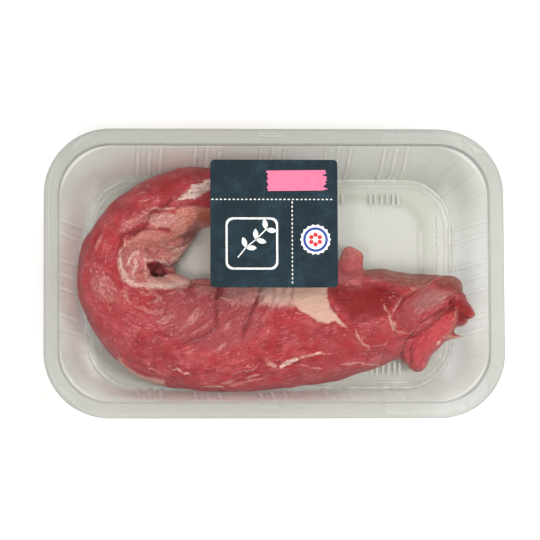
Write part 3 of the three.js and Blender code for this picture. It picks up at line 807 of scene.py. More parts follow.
PATCHES = (
    # the fat over the middle of the thick arm, with the silver skin that runs into it
    ([(-10.9, 6), (-9, -11), (-4.9, -14.6), (3.1, -15.6), (9.6, -15), (11, 6)], 6.0, 0.1,
     {"silver": 0.95}),
    ([(-1.4, 4), (0.6, -9), (9.1, -9), (9.6, 4)], 5.0, 0.1, {"fat": 0.55}),
    ([(-26, 2), (-25, -13), (-20, -16), (-10, -15), (-8, 2)], 5.0, 0.1, {"pale": 0.75}),
    ([(17, -8), (24, -8), (25, -13), (21.5, -15), (17.5, -14)], 3.5, 0, {"pink": 0.5}),
    ([(9.1, 0), (26.1, 0), (26.2, -12.9), (28.2, -17.5), (31.4, -22.1), (36.4, -27.2), (30, -23.6),
      (25.9, -24.6), (21.3, -23.6), (16.7, -20.5), (12.2, -18), (8.6, -14.4)], 1.2, 0.5, {"fat": 0.95}),
    ([(0.6, -17), (13.1, -18.5), (16.1, -23.5), (8.1, -27.5), (-0.9, -25.5)], 4.0, 0, {"bloom": 0.5}),
    # the deep red field on the right
    ([(27.1, -7), (32.1, -4), (39.1, -3.5), (46.1, -5), (54.1, -6.5), (61.1, -9.5), (59.6, -14.5),
      (57.1, -18), (53.6, -20), (46.6, -22.5), (38.6, -22.5), (34.6, -18.5), (30.6, -14.5)], 4.4, 0,
     {"deep_red_and_painted_shade": 0.8}),
    ([(28.6, -8.5), (35.6, -7.5), (39.1, -11), (39.1, -16.5), (34.6, -17.5), (30.1, -13.5)], 4.6, -0.5,
     {"deep_red_and_painted_shade": 0.95}),
    ([(48.1, -3.5), (56, -5), (62, -9.5), (58.1, -17), (54.1, -17.5), (47.1, -12.5)],
     4.6, -0.5, {"deep_red_and_painted_shade": 0.95}),
    # dried edges
    ([(43.9, 5), (49.4, 5), (58.5, 4), (69.5, 2.4), (78.6, 1), (79.6, -3.9), (73.6, -6.4), (64.5, -6.8),
      (57.5, -4), (49.4, -2), (44.4, -1)], 3.0, 0, {"dry": 0.75}),
    ([(81.1, 2), (88.1, 1.5), (95, -4), (96, -9.5), (90.1, -9), (84.1, -5.5)], 3.0, 0, {"dry": 0.75}),
    ([(64.6, -9.5), (69.1, -5.5), (75.1, -3), (79.1, -3), (77.1, -6), (70.1, -9.5), (65.1, -12.5)], 2.4, 0,
     {"tan": 0.42, "orange": 0.1}),
    # the lean under the folded end, darkened with painted shade
    ([(12, -36), (36, -27), (59, -25), (65, -35), (42, -43), (18, -45)],
     4.0, 0, {"bloom": 0.3, "deep_red_and_painted_shade": 0.32}),
    ([(-78.5, -41), (-74.2, -45.2), (-68.1, -48.6), (-62, -50.8), (-55.4, -52.4), (-54.8, -58), (-82, -50)],
     1.3, 0.2, {"fat": 0.7}),
    # the wrinkled skin over the bend, duller where a veil of silver skin covers it
    ([(-54.4, -8), (-41.9, -7.5), (-29.4, -6.5), (-11.9, -6.5), (-5.9, -12.5), (-5.9, -25), (-11.9, -35),
      (-24.4, -38.5), (-39.4, -38.5), (-51.9, -32.5), (-60.9, -25), (-62.9, -12.5)], 4.0, 0, {"veil": 0.6}),
    # painted highlights on the outer side of the bend
    ([(-92.9, 1.5), (-84.9, 3.5), (-78.9, -2.5), (-75.9, -12.5), (-80.9, -17.5), (-88.9, -13.5),
      (-93.9, -6.5)], 4.0, 0, {"pale": 0.4}),
    ([(-77, 26.7), (-67, 31.7), (-61, 36.2), (-57, 34.2), (-64, 26.7), (-71, 22.2), (-78, 20.7)], 2.0, 0,
     {"pale": 0.45}),
    ([(-24, -54.8), (-10, -52.2), (2, -50.3), (-8, -53.4), (-22, -57)], 1.8, 0, {"pale": 0.5}),
    # the brighter and the deeper red of the lean
    ([(-39.7, -40.2), (-22, -38.6), (-5.9, -35.6), (13.2, -35.6), (30.8, -34.6), (33.3, -38.1), (13.2, -41.7),
      (-5.9, -45.7), (-22, -48.7), (-38.1, -48.7)], 4.0, 0, {"bloom": 0.3}),
    ([(-64.6, -29.8), (-57.1, -30.8), (-50.1, -37.3), (-53.1, -44.3), (-62.1, -40.8), (-67.1, -34.8)], 4.0, 0,
     {"deep_red_and_painted_shade": 0.5}),
    ([(-66.6, 46), (-59.6, 47.5), (-47.1, 52), (-37, 54), (-34.5, 51), (-44.6, 47), (-53.6, 39.9),
      (-62.1, 38.4), (-67.1, 42)], 3.0, 0, {"bloom": 0.3, "deep_red_and_painted_shade": 0.55}),
    ([(-82.2, 36.4), (-74.7, 37.9), (-68.1, 36.4), (-69.6, 31.9), (-77.2, 29.9), (-83.2, 31.9)], 3.0, 0,
     {"bloom": 0.3, "deep_red_and_painted_shade": 0.5}),
    ([(-91.2, 23.9), (-82.7, 24.9), (-79.2, 19.9), (-85.2, 16.4), (-90.2, 12.9), (-93.2, 16.9)], 3.0, 0,
     {"bloom": 0.6, "deep_red_and_painted_shade": 0.35}),
    ([(65, -37.1), (69.5, -32.1), (76, -26.5), (84, -20), (89, -19), (91, -23), (86, -31), (79.6, -39),
      (75, -48), (67.5, -45)], 2.4, 0, {"rosy": 0.85}),
    # painted shade under the edge of the folded slab
    ([(77, -23), (84, -17), (90, -14.5), (92, -19), (88, -22), (82, -24)], 2.0, 0, {"deep_red_and_painted_shade": 0.6}),
    # painted shade at the folded slab's right end, with a dried tint
    ([(80, -4), (86, -2), (92, -5), (93, -10), (88, -8.5), (82, -7.4)], 1.6, 0, {"deep_red_and_painted_shade": 0.9, "dry": 0.5}),
    ([(29, -3), (36, -6), (43, -5), (47, 4), (45.5, 18), (30, 18)], 3.2, 0,
     {"rosy": 0.5, "pale": 0.5}),
    ([(31, 9), (37, 8), (44, 9), (45.5, 18), (30, 18)], 2.4, 0, {"pink": 0.4}),
    ([(35, 1), (41, 5.5), (47, 3), (44, -1), (37, -2)], 2.4, 0, {"deep_red_and_painted_shade": 0.5, "dry": 0.45}),
    ([(40, 17), (45, 17), (45.5, 10), (42.5, 11)], 1.4, 0, {"tan": 0.6}),
    ([(92, -11), (96, -13.5), (99, -18), (98, -22), (94, -24.5), (91, -24), (91.6, -16)],
     1.8, 0, {"deep_red_and_painted_shade": 0.6}),
    ([(95.5, -9), (99.5, -13), (103.5, -18), (101, -25), (93, -29), (91, -27), (96, -23.6), (99.4, -20.5),
      (99, -17), (96, -12.6)], 1.2, 0, {"dry": 0.5, "tan": 0.4}),
    ([(60.5, -20.6), (65, -13.6), (70, -8.6), (78, -5.1), (86, -4.1), (92, -7.6), (91, -11.1), (81, -16.6),
      (73.5, -21.1), (70, -26.6), (64.5, -28.6), (61, -25.6)], 2.4, 0, {"veil": 0.6}),
    ([(74, -8.6), (80, -7.6), (88.5, -9.5), (84, -13.5), (77, -18), (71, -18.5), (69.5, -13)], 3.6, 0,
     {"mauve": 0.85}),
    # the inner side of the bend
    ([(-76.4, 13.4), (-71.9, 16.4), (-63.9, 15.4), (-60.9, 10.4), (-60.9, 4.4), (-61.9, -2.6), (-66.9, -6.1),
      (-72.9, -4.1), (-76.9, 1.4), (-77.9, 7.4)], 1.8, 0.4, {"mauve": 0.3, "pink": 0.6}),
    ([(-74, 17.6), (-69.5, 21.6), (-62, 23.6), (-53, 21.6), (-51, 17.6), (-54.5, 13.6), (-62, 14.6),
      (-69.5, 14.1), (-73.5, 12.6)], 1.8, 0, {"pink": 0.55, "tan": 0.6}),
    ([(-64, -1), (-57, 0.6), (-49.5, 2), (-41, 0.4), (-40.4, -2.8), (-44, -6.2), (-51, -7), (-56, -7),
      (-64, -7.4)], 2.6, 0.3, {"pink": 0.65, "silver": 0.8, "fat": 0.45}),
    ([(-54, -0.5), (-49.5, 1.4), (-45, 0.4), (-46.5, -1.6), (-51, -2)], 1.2, 0, {"rosy": 0.5}),
    ([(-41, -0.5), (-34.9, 0), (-28.9, -0.5), (-28.4, -8.9), (-35.4, -11.4), (-40.8, -8.9)], 2.0, 0.9,
     {"pink": 0.55}),
    ([(-51, 36.4), (-47, 39.6), (-43.3, 43.2), (-41, 46.5), (-37.3, 46.9), (-34.5, 48.7), (-30.5, 50),
      (-28.5, 45), (-32.2, 43), (-35.9, 40.3), (-39.6, 38.6), (-44, 38.8), (-46.6, 38)], 1.4, 0.4,
     {"white": 0.7}),
    ([(-67, 7.6), (-67, 16), (-55, 17), (-49, 13), (-52, 7), (-58, 8)], 1.5, 0, {"pink": 0.55, "tan": 0.4}),
    # the pit, with painted shade in it
    ([(-63.5, 5.5), (-59.5, 6.4), (-55.4, 5.5), (-54.6, 2.4), (-57.4, 0.4), (-62, 0.9)], 1.6, -3.0,
     {"deep_red_and_painted_shade": 0.9, "painted_crease_shade": 0.8}),
    ([(-62.1, 31.8), (-52, 32.3), (-48.8, 29.8), (-49, 25.8), (-53, 23.3), (-59.6, 23.3), (-63.7, 24.8),
      (-64.6, 28.3)], 2.0, 0, {"pale": 0.5, "silver": 0.4}),
    ([(-49.1, 34.1), (-42.1, 35.9), (-35.1, 35.1), (-30, 33.1), (-29, 25.1), (-34.6, 23.1), (-39.1, 21.1),
      (-42.1, 18), (-46.6, 16.5), (-51.2, 17), (-54.7, 20.1), (-51.2, 26.1)], 2.0, 0, {"tan": 0.62}),
    ([(-49.5, 33), (-44.5, 32), (-43, 26), (-46, 20.5), (-52, 19.5), (-51.5, 26)], 2.0, 0, {"pale": 0.55}),
    ([(-39.6, 31.6), (-36.1, 33.6), (-30.1, 32.1), (-29.6, 26.6), (-35.6, 26.1), (-38.6, 27.6)], 2.4, 0,
     {"orange": 0.6}),
    # painted shade under the white fat
    ([(-51, 34.4), (-44, 36.2), (-36, 37.8), (-36, 35.9), (-44, 34), (-50.5, 32.6)],
     1.2, -0.3, {"painted_crease_shade": 0.45}),
    ([(-55.1, 18.9), (-49.5, 16.9), (-43.9, 18.4), (-42.9, 15.9), (-47.5, 11.8), (-52.5, 9.3),
      (-56.1, 11.8)], 1.5, 0, {"tan": 0.6}),
    ([(-55, 14), (-49, 19), (-43, 25), (-38, 28), (-38, 18), (-44, 8), (-52, 3), (-57, 6)], 2.0, 0,
     {"mauve": 0.9, "tan": 0.8}),
)
# The skin over the bend wrinkles in arcs round this point
WRINKLE_CENTRE = (-61.0, 3.0)
WRINKLED = [
    (-61, -4.4), (10, -1), (9, -16), (-1.9, -19.9), (-4.9, -30), (-15.9, -38.5), (-36.9, -42.5),
    (-57, -38.5), (-74.5, -24.9), (-91, -13.4), (-97, 2.6), (-92, 20.1), (-83, 26.6), (-79, 17.6),
    (-80.5, 6.6), (-76, -4.4), (-68, -7.4),
]
# Radius at which a length along those arcs is measured, to set the wrinkles' length
WRINKLE_RADIUS_MM = 40
# Size and height of the lumps and dents, of the cords along the muscle and of the wrinkles over the bend, and
# how much painted highlight lies on the tops of the wrinkles
LUMP_MM, LUMP_HEIGHT = 22.0, 1.2
DENT_MM, DENT_HEIGHT = 7.0, 0.55
PIMPLE_MM, PIMPLE_HEIGHT = 2.6, 0.18
CORD_MM, CORD_HEIGHT = (24.0, 2.8, 2.8), 0.22
FOLD_MM, FOLD_HEIGHT, FOLD_HIGHLIGHT = (14.0, 3.2, 3.2), 0.7, 0.45
# The marks' edges stray by a wide wobble and by a fine flutter: size and reach of each
WOBBLE_MM, WOBBLE_REACH = 6, 0.8
FLUTTER_MM, FLUTTER_REACH = 1.9, 0.55
MEAT_FLOOR_MM = 3.9
# How far the meat stays from the middle of the wall's sheet, and how softly it is pressed back there
WALL_CLEARANCE_MM, PRESS_MM = 0.8, 0.4
# Stations and marks are placed as they lie seen from above; their true places lie aside by this much for each
# millimetre below the film, as the line of sight leans and spreads
SIGHT_LEAN = np.array((0.0487, 0.0389))
SIGHT_SPREAD = 0.00026
SEED = Vector((13.7, 4.2, 8.9))
# The noise vectors that move the marks' edges are drawn from this, so they are the same in each run
EDGE_SEED = 7


def marked_skin(points, normals):
    """Relief in millimetres and the share of each finish at each point of the meat's skin."""
    noise.seed_set(EDGE_SEED)
    places = [Vector(place) for place in points.tolist()]
    wobble = np.array([noise.noise_vector(place / WOBBLE_MM + SEED) for place in places])
    flutter = np.array([noise.noise_vector(place / FLUTTER_MM - SEED) for place in places])
    plan = points[:, :2] + WOBBLE_REACH * wobble[:, :2] + FLUTTER_REACH * flutter[:, :2]
    # The marks fade out where the skin turns under
    seen = smoothstep(-0.3, 0.15, normals[:, 2])
    relief = np.zeros(len(points))
    masks = {name: np.zeros(len(points)) for name in FINISHES}
    marks = []
    for path, half_width, rise, cover in LINES:
        distance, at = distance_to_line(plan, path)
        # Widest halfway along
        taper = 0.35 + 0.65 * np.sqrt(np.clip(4 * at * (1 - at), 0, 1))
        marks.append((np.exp(-(distance / (half_width * taper)) ** 2), rise, cover))
    for outline, soften, rise, cover in PATCHES:
        distance, _ = distance_to_line(plan, outline + outline[:1])
        signed = np.where(inside_outline(plan, outline), distance, -distance)
        marks.append((smoothstep(-soften, soften, signed), rise, cover))
    for strength, rise, cover in marks:
        relief += rise * strength * seen
        for name, amount in cover.items():
            masks[name] = np.maximum(masks[name], amount * strength * seen)
    distance, _ = distance_to_line(plan, WRINKLED + WRINKLED[:1])
    signed = np.where(inside_outline(plan, WRINKLED), distance, -distance)
    masks["wrinkled"] = smoothstep(-4, 4, signed) * seen
    return relief, masks


def kept_inside(points):
    """The points, pressed back where the meat would pass through the tray's wall."""
    wall = [ring[:4] for ring in TRAY_RINGS if ring[0] > FOOT_HALF_X and ring[3] <= WALL_TOP_MM]
    *sizes, heights = np.array(wall).T
    half_x, half_y, radius = (np.interp(points[:, 2], heights, size) for size in sizes)
    corner = np.abs(points[:, :2]) - np.stack((half_x - radius, half_y - radius), axis=1)
    outward = np.maximum(corner, 0)
    reach = np.linalg.norm(outward, axis=1)
    past = reach + np.minimum(corner.max(axis=1), 0) - radius + WALL_CLEARANCE_MM
    push = PRESS_MM * np.logaddexp(0, past / PRESS_MM)
    inside = points.copy()
    inside[:, :2] -= np.sign(points[:, :2]) * outward / np.maximum(reach, 0.001)[:, None] * push[:, None]
    return inside


def make_tenderloin():
    points, corners, edges = joined_muscles()
    points = relaxed(points, edges, SMOOTHING_PASSES)
    normals = skin_normals(points, corners)
    grain = grain_of(points)
    relief, masks = marked_skin(points, normals)
    from_centre = points[:, :2] - WRINKLE_CENTRE
    radius = np.linalg.norm(from_centre, axis=1)
    turned = np.arctan2(from_centre[:, 1], -from_centre[:, 0]) * WRINKLE_RADIUS_MM
    wrinkle = np.stack((turned, radius, points[:, 2]), axis=1)
    cords = (grain / CORD_MM).tolist()
    folds = (wrinkle / FOLD_MM).tolist()
    wrinkled = masks["wrinkled"]
    folded = np.array([noise.noise(Vector(fold) + SEED) for fold in folds])
    relief += FOLD_HEIGHT * wrinkled * folded
    # Painted highlight on the tops of the wrinkles
    masks["pale"] = np.maximum(masks["pale"], FOLD_HIGHLIGHT * wrinkled * smoothstep(0.0, 0.45, folded))
    for k, place in enumerate(points.tolist()):
        here = Vector(place)
        relief[k] += LUMP_HEIGHT * noise.noise(here / LUMP_MM + SEED)
        relief[k] += DENT_HEIGHT * noise.noise(here / DENT_MM - SEED)
        relief[k] += PIMPLE_HEIGHT * noise.noise(here / PIMPLE_MM + SEED)
        relief[k] += CORD_HEIGHT * (1 - wrinkled[k]) * noise.noise(Vector(cords[k]) + SEED)
    points = points + normals * relief[:, None]
    points[:, 2] = np.maximum(points[:, 2], MEAT_FLOOR_MM)
    points[:, :2] += (FILM_BOTTOM - points[:, 2:]) * (SIGHT_LEAN - points[:, :2] * SIGHT_SPREAD)
    points = kept_inside(points)
    piece = new_piece("pork_tenderloin", points, corners, raw_pork())
    mesh = piece.data
    for name, values in masks.items():
        mesh.attributes.new(name, "FLOAT", "POINT").data.foreach_set("value", values)
    for name, values in (("grain", grain), ("wrinkle", wrinkle)):
        mesh.attributes.new(name, "FLOAT_VECTOR", "POINT").data.foreach_set("vector", values.ravel())
    return piece


# Tray: the part's rings with rounded edges and ribs

SHEET_MM = 0.6
# Ribs in the wall: the middle of each along the long and the short sides, and their section, as a place
# across the rib and how far it stands in
RIB_DEPTH = 0.6
LONG_SIDE_RIBS = (
    -67.2, -61.5, -55.8, -38.7, -32.7, -26.7, -6.0, 0.0, 6.0, 26.7, 32.7, 38.7, 55.8, 61.5, 67.2,
)
SHORT_SIDE_RIBS = (-27.0, -20.2, -7.0, 0.0, 7.0, 20.2, 27.0)
RIB_SECTION = ((-1.7, 0.0), (-1.25, 0.5), (-0.8, 1.0), (0.8, 1.0), (1.25, 0.5), (1.7, 0.0))
# Steps round a corner, and the steps and depth of the creases that fan out there
CORNER_STEPS, CORNER_CREASES, CORNER_CREASE = 60, (9, 24, 37, 51), 0.2
# The ribs keep their places where the straight sides are longer than this, and crowd together where they're
# shorter
FULL_STRAIGHT_X, FULL_STRAIGHT_Y = 69.0, 29.0
PANEL_TOP_MM = 3.6
PANEL_HALF_Y, SLOPE_FOOT_Y = 40.1, 45.9
FOOT_HALF_X = 89.2
WALL_TOP_MM = 46
# Half length, half width, corner radius, height, rib share, painted shade of an edge and painted gleam of each
# ring, from the floor panel outwards
TRAY_RINGS = (
    (20, 8.3, 3.3, PANEL_TOP_MM, 0, 0, 0),
    (40, 16.7, 6.7, PANEL_TOP_MM, 0, 0, 0),
    (60, 25, 10, PANEL_TOP_MM, 0, 0, 0),
    (73, 38.1, 15.5, PANEL_TOP_MM, 0, 0, 0),
    (75, PANEL_HALF_Y, 16.5, PANEL_TOP_MM, 0, 0, 0),
    (78.6, SLOPE_FOOT_Y, 18.5, SHEET_MM, 0, 0, 0),
    (FOOT_HALF_X, 50.2, 21.2, SHEET_MM, 0, 0, 0),
    (91.7, 53, 24, 1.7, 0.4, 0, 0),
    (92.6, 53.8, 24.7, 4, 0.6, 0, 0),
    (105.5, 63, 28.6, WALL_TOP_MM, 0.7, 0, 0),
    (105.65, 63.15, 28.6, 46.6, 0.5, 0.6, 0),
    (105.8, 63.3, 28.4, 46.8, 0, 0, 0.3),
    (106.1, 63.6, 25.4, 47.2, 0, 0, 0.3),
    (106.2, 63.7, 25, 47.5, 0, 0.85, 0),
    (106.4, 63.9, 25, 49.7, 0, 0.85, 0),
    (106.6, 64.1, 25.2, 50, 0, 0, 0),
    (107.2, 64.7, 25.8, 50, 0, 0, 0),
    (111.9, 69.9, 30.6, 50, 0, 0, 0),
    (112.6, 70.6, 31.3, 50, 0, 0, 0),
    (113.6, 71.6, 32.3, 49.6, 0, 0.1, 0),
    (114, 72, 32.7, 49, 0, 0.6, 0),
)
# The sealed rim starts at this height
RIM_FOOT_MM = 46.9
BEND_MM = 1.2
BEND_STEPS = 3
WALL_STEP_MM = 5.0
# The ribs run out in narrow ridges on the slope of the floor panel and in low beads round its ends, all sunk
# this far in the sheet
SUNK_MM = 0.2
RIDGE_PLACES_X = (37.0, 51.2, 53.8, 57.0, 59.8, 62.8, 65.4)
RIDGE_Y, RIDGE_HALF, RIDGE_TOP_MM = 43.1, (0.55, 3.2), 0.35
# Place and half length of each bead along the short sides
END_BEADS = ((31.6, 3.4), (25.2, 1.3), (20.4, 1.2), (16.4, 1.2), (9.6, 3.6))
BEAD_X, BEAD_HALF_X, BEAD_TOP_MM = 85.6, 0.6, 0.9
# Wavy painted highlights along the foot's inner and outer bends: half length, half width and corner radius of
# the path, its height, the line's half width and its seed
WAVY_HIGHLIGHTS = ((88.9, 50.0, 21.0, 0.75, 0.2, 1.3), (91.8, 53.0, 23.9, 1.9, 0.5, 7.7))
WAVY_STEP_MM = 0.9
# Over what length a line swells and fades, how much wider it gets, and the level below which it is left out
SWELL_MM, SWELL_REACH, FADED = 5, 0.3, -0.4
# Over what length it strays from its path, and how far
STRAY_MM, STRAY_REACH = 2, 0.5


def rounded_rings(keys):
    """More rings between the key rings, with each bend between them rounded."""
    keys = np.array(keys, float)
    rounded = [keys[0]]
    for before, here, after in zip(keys, keys[1:], keys[2:]):
        back, ahead = before - here, after - here
        reach_back = min(BEND_MM / np.linalg.norm(back[[0, 3]]), 0.45)
        reach_ahead = min(BEND_MM / np.linalg.norm(ahead[[0, 3]]), 0.45)
        start, end = here + back * reach_back, here + ahead * reach_ahead
        for step in range(BEND_STEPS + 1):
            t = step / BEND_STEPS
            rounded.append((1 - t) ** 2 * start + 2 * t * (1 - t) * here + t ** 2 * end)
    rounded.append(keys[-1])
    rings = [rounded[0]]
    for ring in rounded[1:]:
        gap = np.linalg.norm((ring - rings[-1])[[0, 3]])
        parts = max(1, int(gap / WALL_STEP_MM))
        rings += [rings[-1] + (ring - rings[-1]) * k / parts for k in range(1, parts)] + [ring]
    return rings


def side_stations(ribs):
    """Where a straight side has points and how far a rib stands in there."""
    return [(middle + place, rise) for middle in ribs for place, rise in RIB_SECTION]


def corner_stations():
    """The same round a corner, with places as shares of it; a few narrow creases fan out there."""
    steps = range(CORNER_STEPS + 1)
    return [(step / CORNER_STEPS, CORNER_CREASE * (step in CORNER_CREASES)) for step in steps]


def tray_ring(half_x, half_y, radius, height, rib_share):
    points = []
    for quarter in range(4):
        facing_x = quarter % 2 == 0
        out = np.array([(1, 0), (0, 1), (-1, 0), (0, -1)][quarter])
        along = np.array((-out[1], out[0]))
        reach = half_x if facing_x else half_y
        half_straight = (half_y if facing_x else half_x) - radius
        ribs = SHORT_SIDE_RIBS if facing_x else LONG_SIDE_RIBS
        squeeze = min(1.0, half_straight / (FULL_STRAIGHT_Y if facing_x else FULL_STRAIGHT_X))
        for place, rib in side_stations(ribs):
            points.append(out * (reach - rib * rib_share * RIB_DEPTH) + along * place * squeeze)
        for share, rib in corner_stations():
            turn = share * math.pi / 2
            here = radius - rib * rib_share * RIB_DEPTH
            points.append(out * (reach - radius + here * math.cos(turn))
                          + along * (half_straight + here * math.sin(turn)))
    return np.column_stack((points, np.full(len(points), height)))


def distance_to_meat(points, meat_points):
    tree = kdtree.KDTree(len(meat_points))
    for k, place in enumerate(meat_points):
        tree.insert(place, k)
    tree.balance()
    return np.array([tree.find(point)[2] for point in points])


def sheet_marks(rings_up, upper, normal, meat_points):
    """What the tray's material reads, by name: a share for each point of its upper side, ring by ring."""
    count = upper.shape[1]
    x, y, height = upper[:, :, 0], upper[:, :, 1], upper[:, :, 2]
    short_side = [rise for _, rise in side_stations(SHORT_SIDE_RIBS) + corner_stations()]
    long_side = [rise for _, rise in side_stations(LONG_SIDE_RIBS) + corner_stations()]
    stands_in = np.array((short_side + long_side) * 2)
    ring_height, rib_share, edge_shade, gleam = np.array([ring[3:] for ring in rings_up]).T
    on_rib = smoothstep(0.0, 0.4, rib_share)[:, None]
    level = np.ones(count)
    bending = np.zeros(len(upper))
    bending[1:-1] = 1 - np.mean(np.sum(normal[2:] * normal[:-2], axis=2), axis=1)
    tilt = np.repeat(1 - np.mean(normal[:, :, 2], axis=1), count).reshape(-1, count)
    gap = distance_to_meat(upper.reshape(-1, 3), meat_points).reshape(len(upper), count)
    on_panel = (height > PANEL_TOP_MM - 0.1) * (height < PANEL_TOP_MM + 0.1)
    on_rim = height > RIM_FOOT_MM
    # A painted gleam down the slope at the floor panel's ends
    end_gleam = smoothstep(0.7, 1.6, height) * smoothstep(3.5, 2.6, height) * smoothstep(75, 75.6, np.abs(x))
    end_gleam *= smoothstep(29.5, 26, np.abs(y)) * smoothstep(4, 9, np.abs(y))
    # Painted reflection: the meat's red shows in the sheet near it, least on the right and most in the wall at
    # the front
    blush = (1 - smoothstep(1.0, 24.0, gap)) * smoothstep(3.0, 9.0, height) * smoothstep(75, 0, x)
    blush *= 1 + 0.9 * smoothstep(-30, -55, y)
    # Painted shade: the far wall is darker and so are the front corners; painted light: the ends of the foot
    # are lighter
    shaded = smoothstep(15, 55, y) * np.maximum(0.5 * on_rim, tilt)
    shaded -= 0.8 * smoothstep(84, 90, np.abs(x)) * smoothstep(26, 4, height)
    shaded += 0.8 * smoothstep(88, 99, np.abs(x)) * smoothstep(-22, -45, y) * tilt
    return {
        # painted highlights on the rib tops and tight bends, painted shade in the grooves
        "bend": np.maximum(0.4 * (stands_in == 1.0) * on_rib, smoothstep(0.05, 0.6, bending)[:, None]),
        "painted_groove_shade": np.select((stands_in == 0.5, stands_in == CORNER_CREASE), (1.0, 0.4), 0.0) * on_rib,
        "glint": np.outer(gleam, level) + 0.6 * end_gleam,
        "rim": np.outer(edge_shade, level),
        "seal": np.outer((ring_height > RIM_FOOT_MM).astype(float), level),
        "steep": tilt,
        "blush": blush,
        # Painted light: the floor within the bend of the meat takes a light warm cast, as of light thrown back
        # from it
        "painted_bounce_light": (1 - smoothstep(12.0, 40.0, gap)) * on_panel * smoothstep(20, 5, x),
        "shaded": shaded,
    }


def make_tray(meat_points):
    rings_up = rounded_rings(TRAY_RINGS)
    upper = np.array([tray_ring(*ring[:5]) for ring in rings_up])
    inward = upper[0] * (0.97, 0.97, 1)
    round_it = np.roll(upper, -1, axis=1) - np.roll(upper, 1, axis=1)
    outward = np.gradient(upper, axis=0)
    outward[0] = upper[0] - inward
    normal = np.cross(outward, round_it)
    normal /= np.linalg.norm(normal, axis=2)[:, :, None]
    lower = upper - normal * SHEET_MM
    lower[-1] = upper[-1] - (0, 0, SHEET_MM)
    lower[:, :, 2] = np.maximum(lower[:, :, 2], 0)
    rings = np.concatenate((lower, upper[::-1]))
    points = np.vstack((rings.reshape(-1, 3), [(0, 0, lower[0, 0, 2]), (0, 0, upper[0, 0, 2])]))
    faces = ring_faces(len(rings), upper.shape[1], len(points) - 2, len(points) - 1)
    tray = new_piece("pet_tray", points, faces, tray_pet())
    for name, values in sheet_marks(rings_up, upper, normal, meat_points).items():
        both_skins = np.concatenate((values.ravel(), values[::-1].ravel(), (0, 0)))
        tray.data.attributes.new(name, "FLOAT", "POINT").data.foreach_set("value", both_skins)
    tray.data.attributes.new("height", "FLOAT", "POINT").data.foreach_set("value", points[:, 2])
    return tray


def bar(middle, half, low, high):
    """A box from its middle in plan, its half sizes and its lowest and highest level."""
    corners = ((-1, -1), (1, -1), (1, 1), (-1, 1))
    return prism([(middle[0] + half[0] * x, middle[1] + half[1] * y) for x, y in corners], low, high)


def slope_ridge(x, y):
    """A narrow ridge that lies down the slope of the floor panel."""
    points, faces = bar((x, y), RIDGE_HALF, -SUNK_MM, RIDGE_TOP_MM)
    fall = (PANEL_TOP_MM - SHEET_MM) / (SLOPE_FOOT_Y - PANEL_HALF_Y)
    return [(px, py, pz + PANEL_TOP_MM - (abs(py) - PANEL_HALF_Y) * fall) for px, py, pz in points], faces


def wavy_highlight(half_x, half_y, radius, level, half_width, seed):
    """Short flat bright bars one after the other round the tray, a painted highlight along a bend, left out
    where the line fades.
    """
    bars = []
    path = np.array(rounded_outline(half_x, half_y, radius, CORNER_STEPS))
    for start, end in zip(path, np.roll(path, -1, axis=0)):
        steps = max(1, int(np.linalg.norm(end - start) / WAVY_STEP_MM))
        for step in range(steps):
            a, b = (start + (end - start) * (step + ahead) / steps for ahead in (0, 1))
            swell = noise.noise(Vector((a[0] / SWELL_MM, a[1] / SWELL_MM, seed)))
            if swell < FADED or np.linalg.norm(b - a) < 1e-6:
                continue
            out = np.array((b[1] - a[1], a[0] - b[0])) / np.linalg.norm(b - a)
            half = (half_width + SWELL_REACH * max(swell, 0)) * out
            stray = STRAY_REACH * noise.noise(Vector((a[0] / STRAY_MM, a[1] / STRAY_MM, seed))) * out
            corners = (a - half + stray, b - half + stray, b + half + stray, a + half + stray)
            bars.append(prism([tuple(corner) for corner in corners], level - 0.1, level + 0.12))
    return bars


def make_rib_ends_and_highlights():
    """Narrow ridges, beads and lines, painted bright as highlights along their length."""
    parts = []
    for side in (1, -1):
        parts += [slope_ridge(end * x, side * RIDGE_Y) for x in RIDGE_PLACES_X for end in (1, -1)]
        parts += [
            bar((end * BEAD_X, side * y), (BEAD_HALF_X, half_length), SHEET_MM - SUNK_MM, BEAD_TOP_MM)
            for y, half_length in END_BEADS for end in (1, -1)
        ]
    for line in WAVY_HIGHLIGHTS:
        parts += wavy_highlight(*line)
    points, faces = joined(parts)
    return new_piece("pet_rib_ends_painted_highlights", points, faces, painted_highlight_pet(), smooth=False)


FILM_HALF_X, FILM_HALF_Y, FILM_CORNER = 112.0, 70.0, 30.7
FILM_BOTTOM, FILM_TOP = 50.0, 50.2


def make_film():
    points, faces = prism(rounded_outline(FILM_HALF_X, FILM_HALF_Y, FILM_CORNER), FILM_BOTTOM, FILM_TOP)
    return new_piece("lidding_film", points, faces, lidding_film(), smooth=False)


# Label: a square of coated paper with a printed chalk design. Places on it are from its centre

LABEL_CENTRE = (-0.2, 24.55)
LABEL_HALF_X, LABEL_HALF_Y, LABEL_CORNER = 31.55, 31.85, 2.2
LABEL_BOTTOM, PAPER_TOP = 50.2, 50.34
# A layer of the print, and how far it is sunk in the paper
PRINT_LAYER, PRINT_SUNK = 0.012, 0.02
# The dashed lines, and the distance between dashes, their length and half width
DASHED_LINES = (((-31, 12), (31, 12)), ((9, 11), (9, -31)))
DASH_PITCH, DASH_LENGTH, DASH_HALF = 2.1, 1.1, 0.28
# The square frame, its line and the herb sprig in it
FRAME_CENTRE, FRAME_HALF, FRAME_CORNER, FRAME_LINE = (-11, -10), 13, 3.5, 1.0
STEM, STEM_HALF = ((-18, -17), (-14, -12), (-9, -8), (-4, -3)), 0.3
LEAF_LENGTH, LEAF_HALF, LEAF_TURN = 5.4, 1.3, 0.95
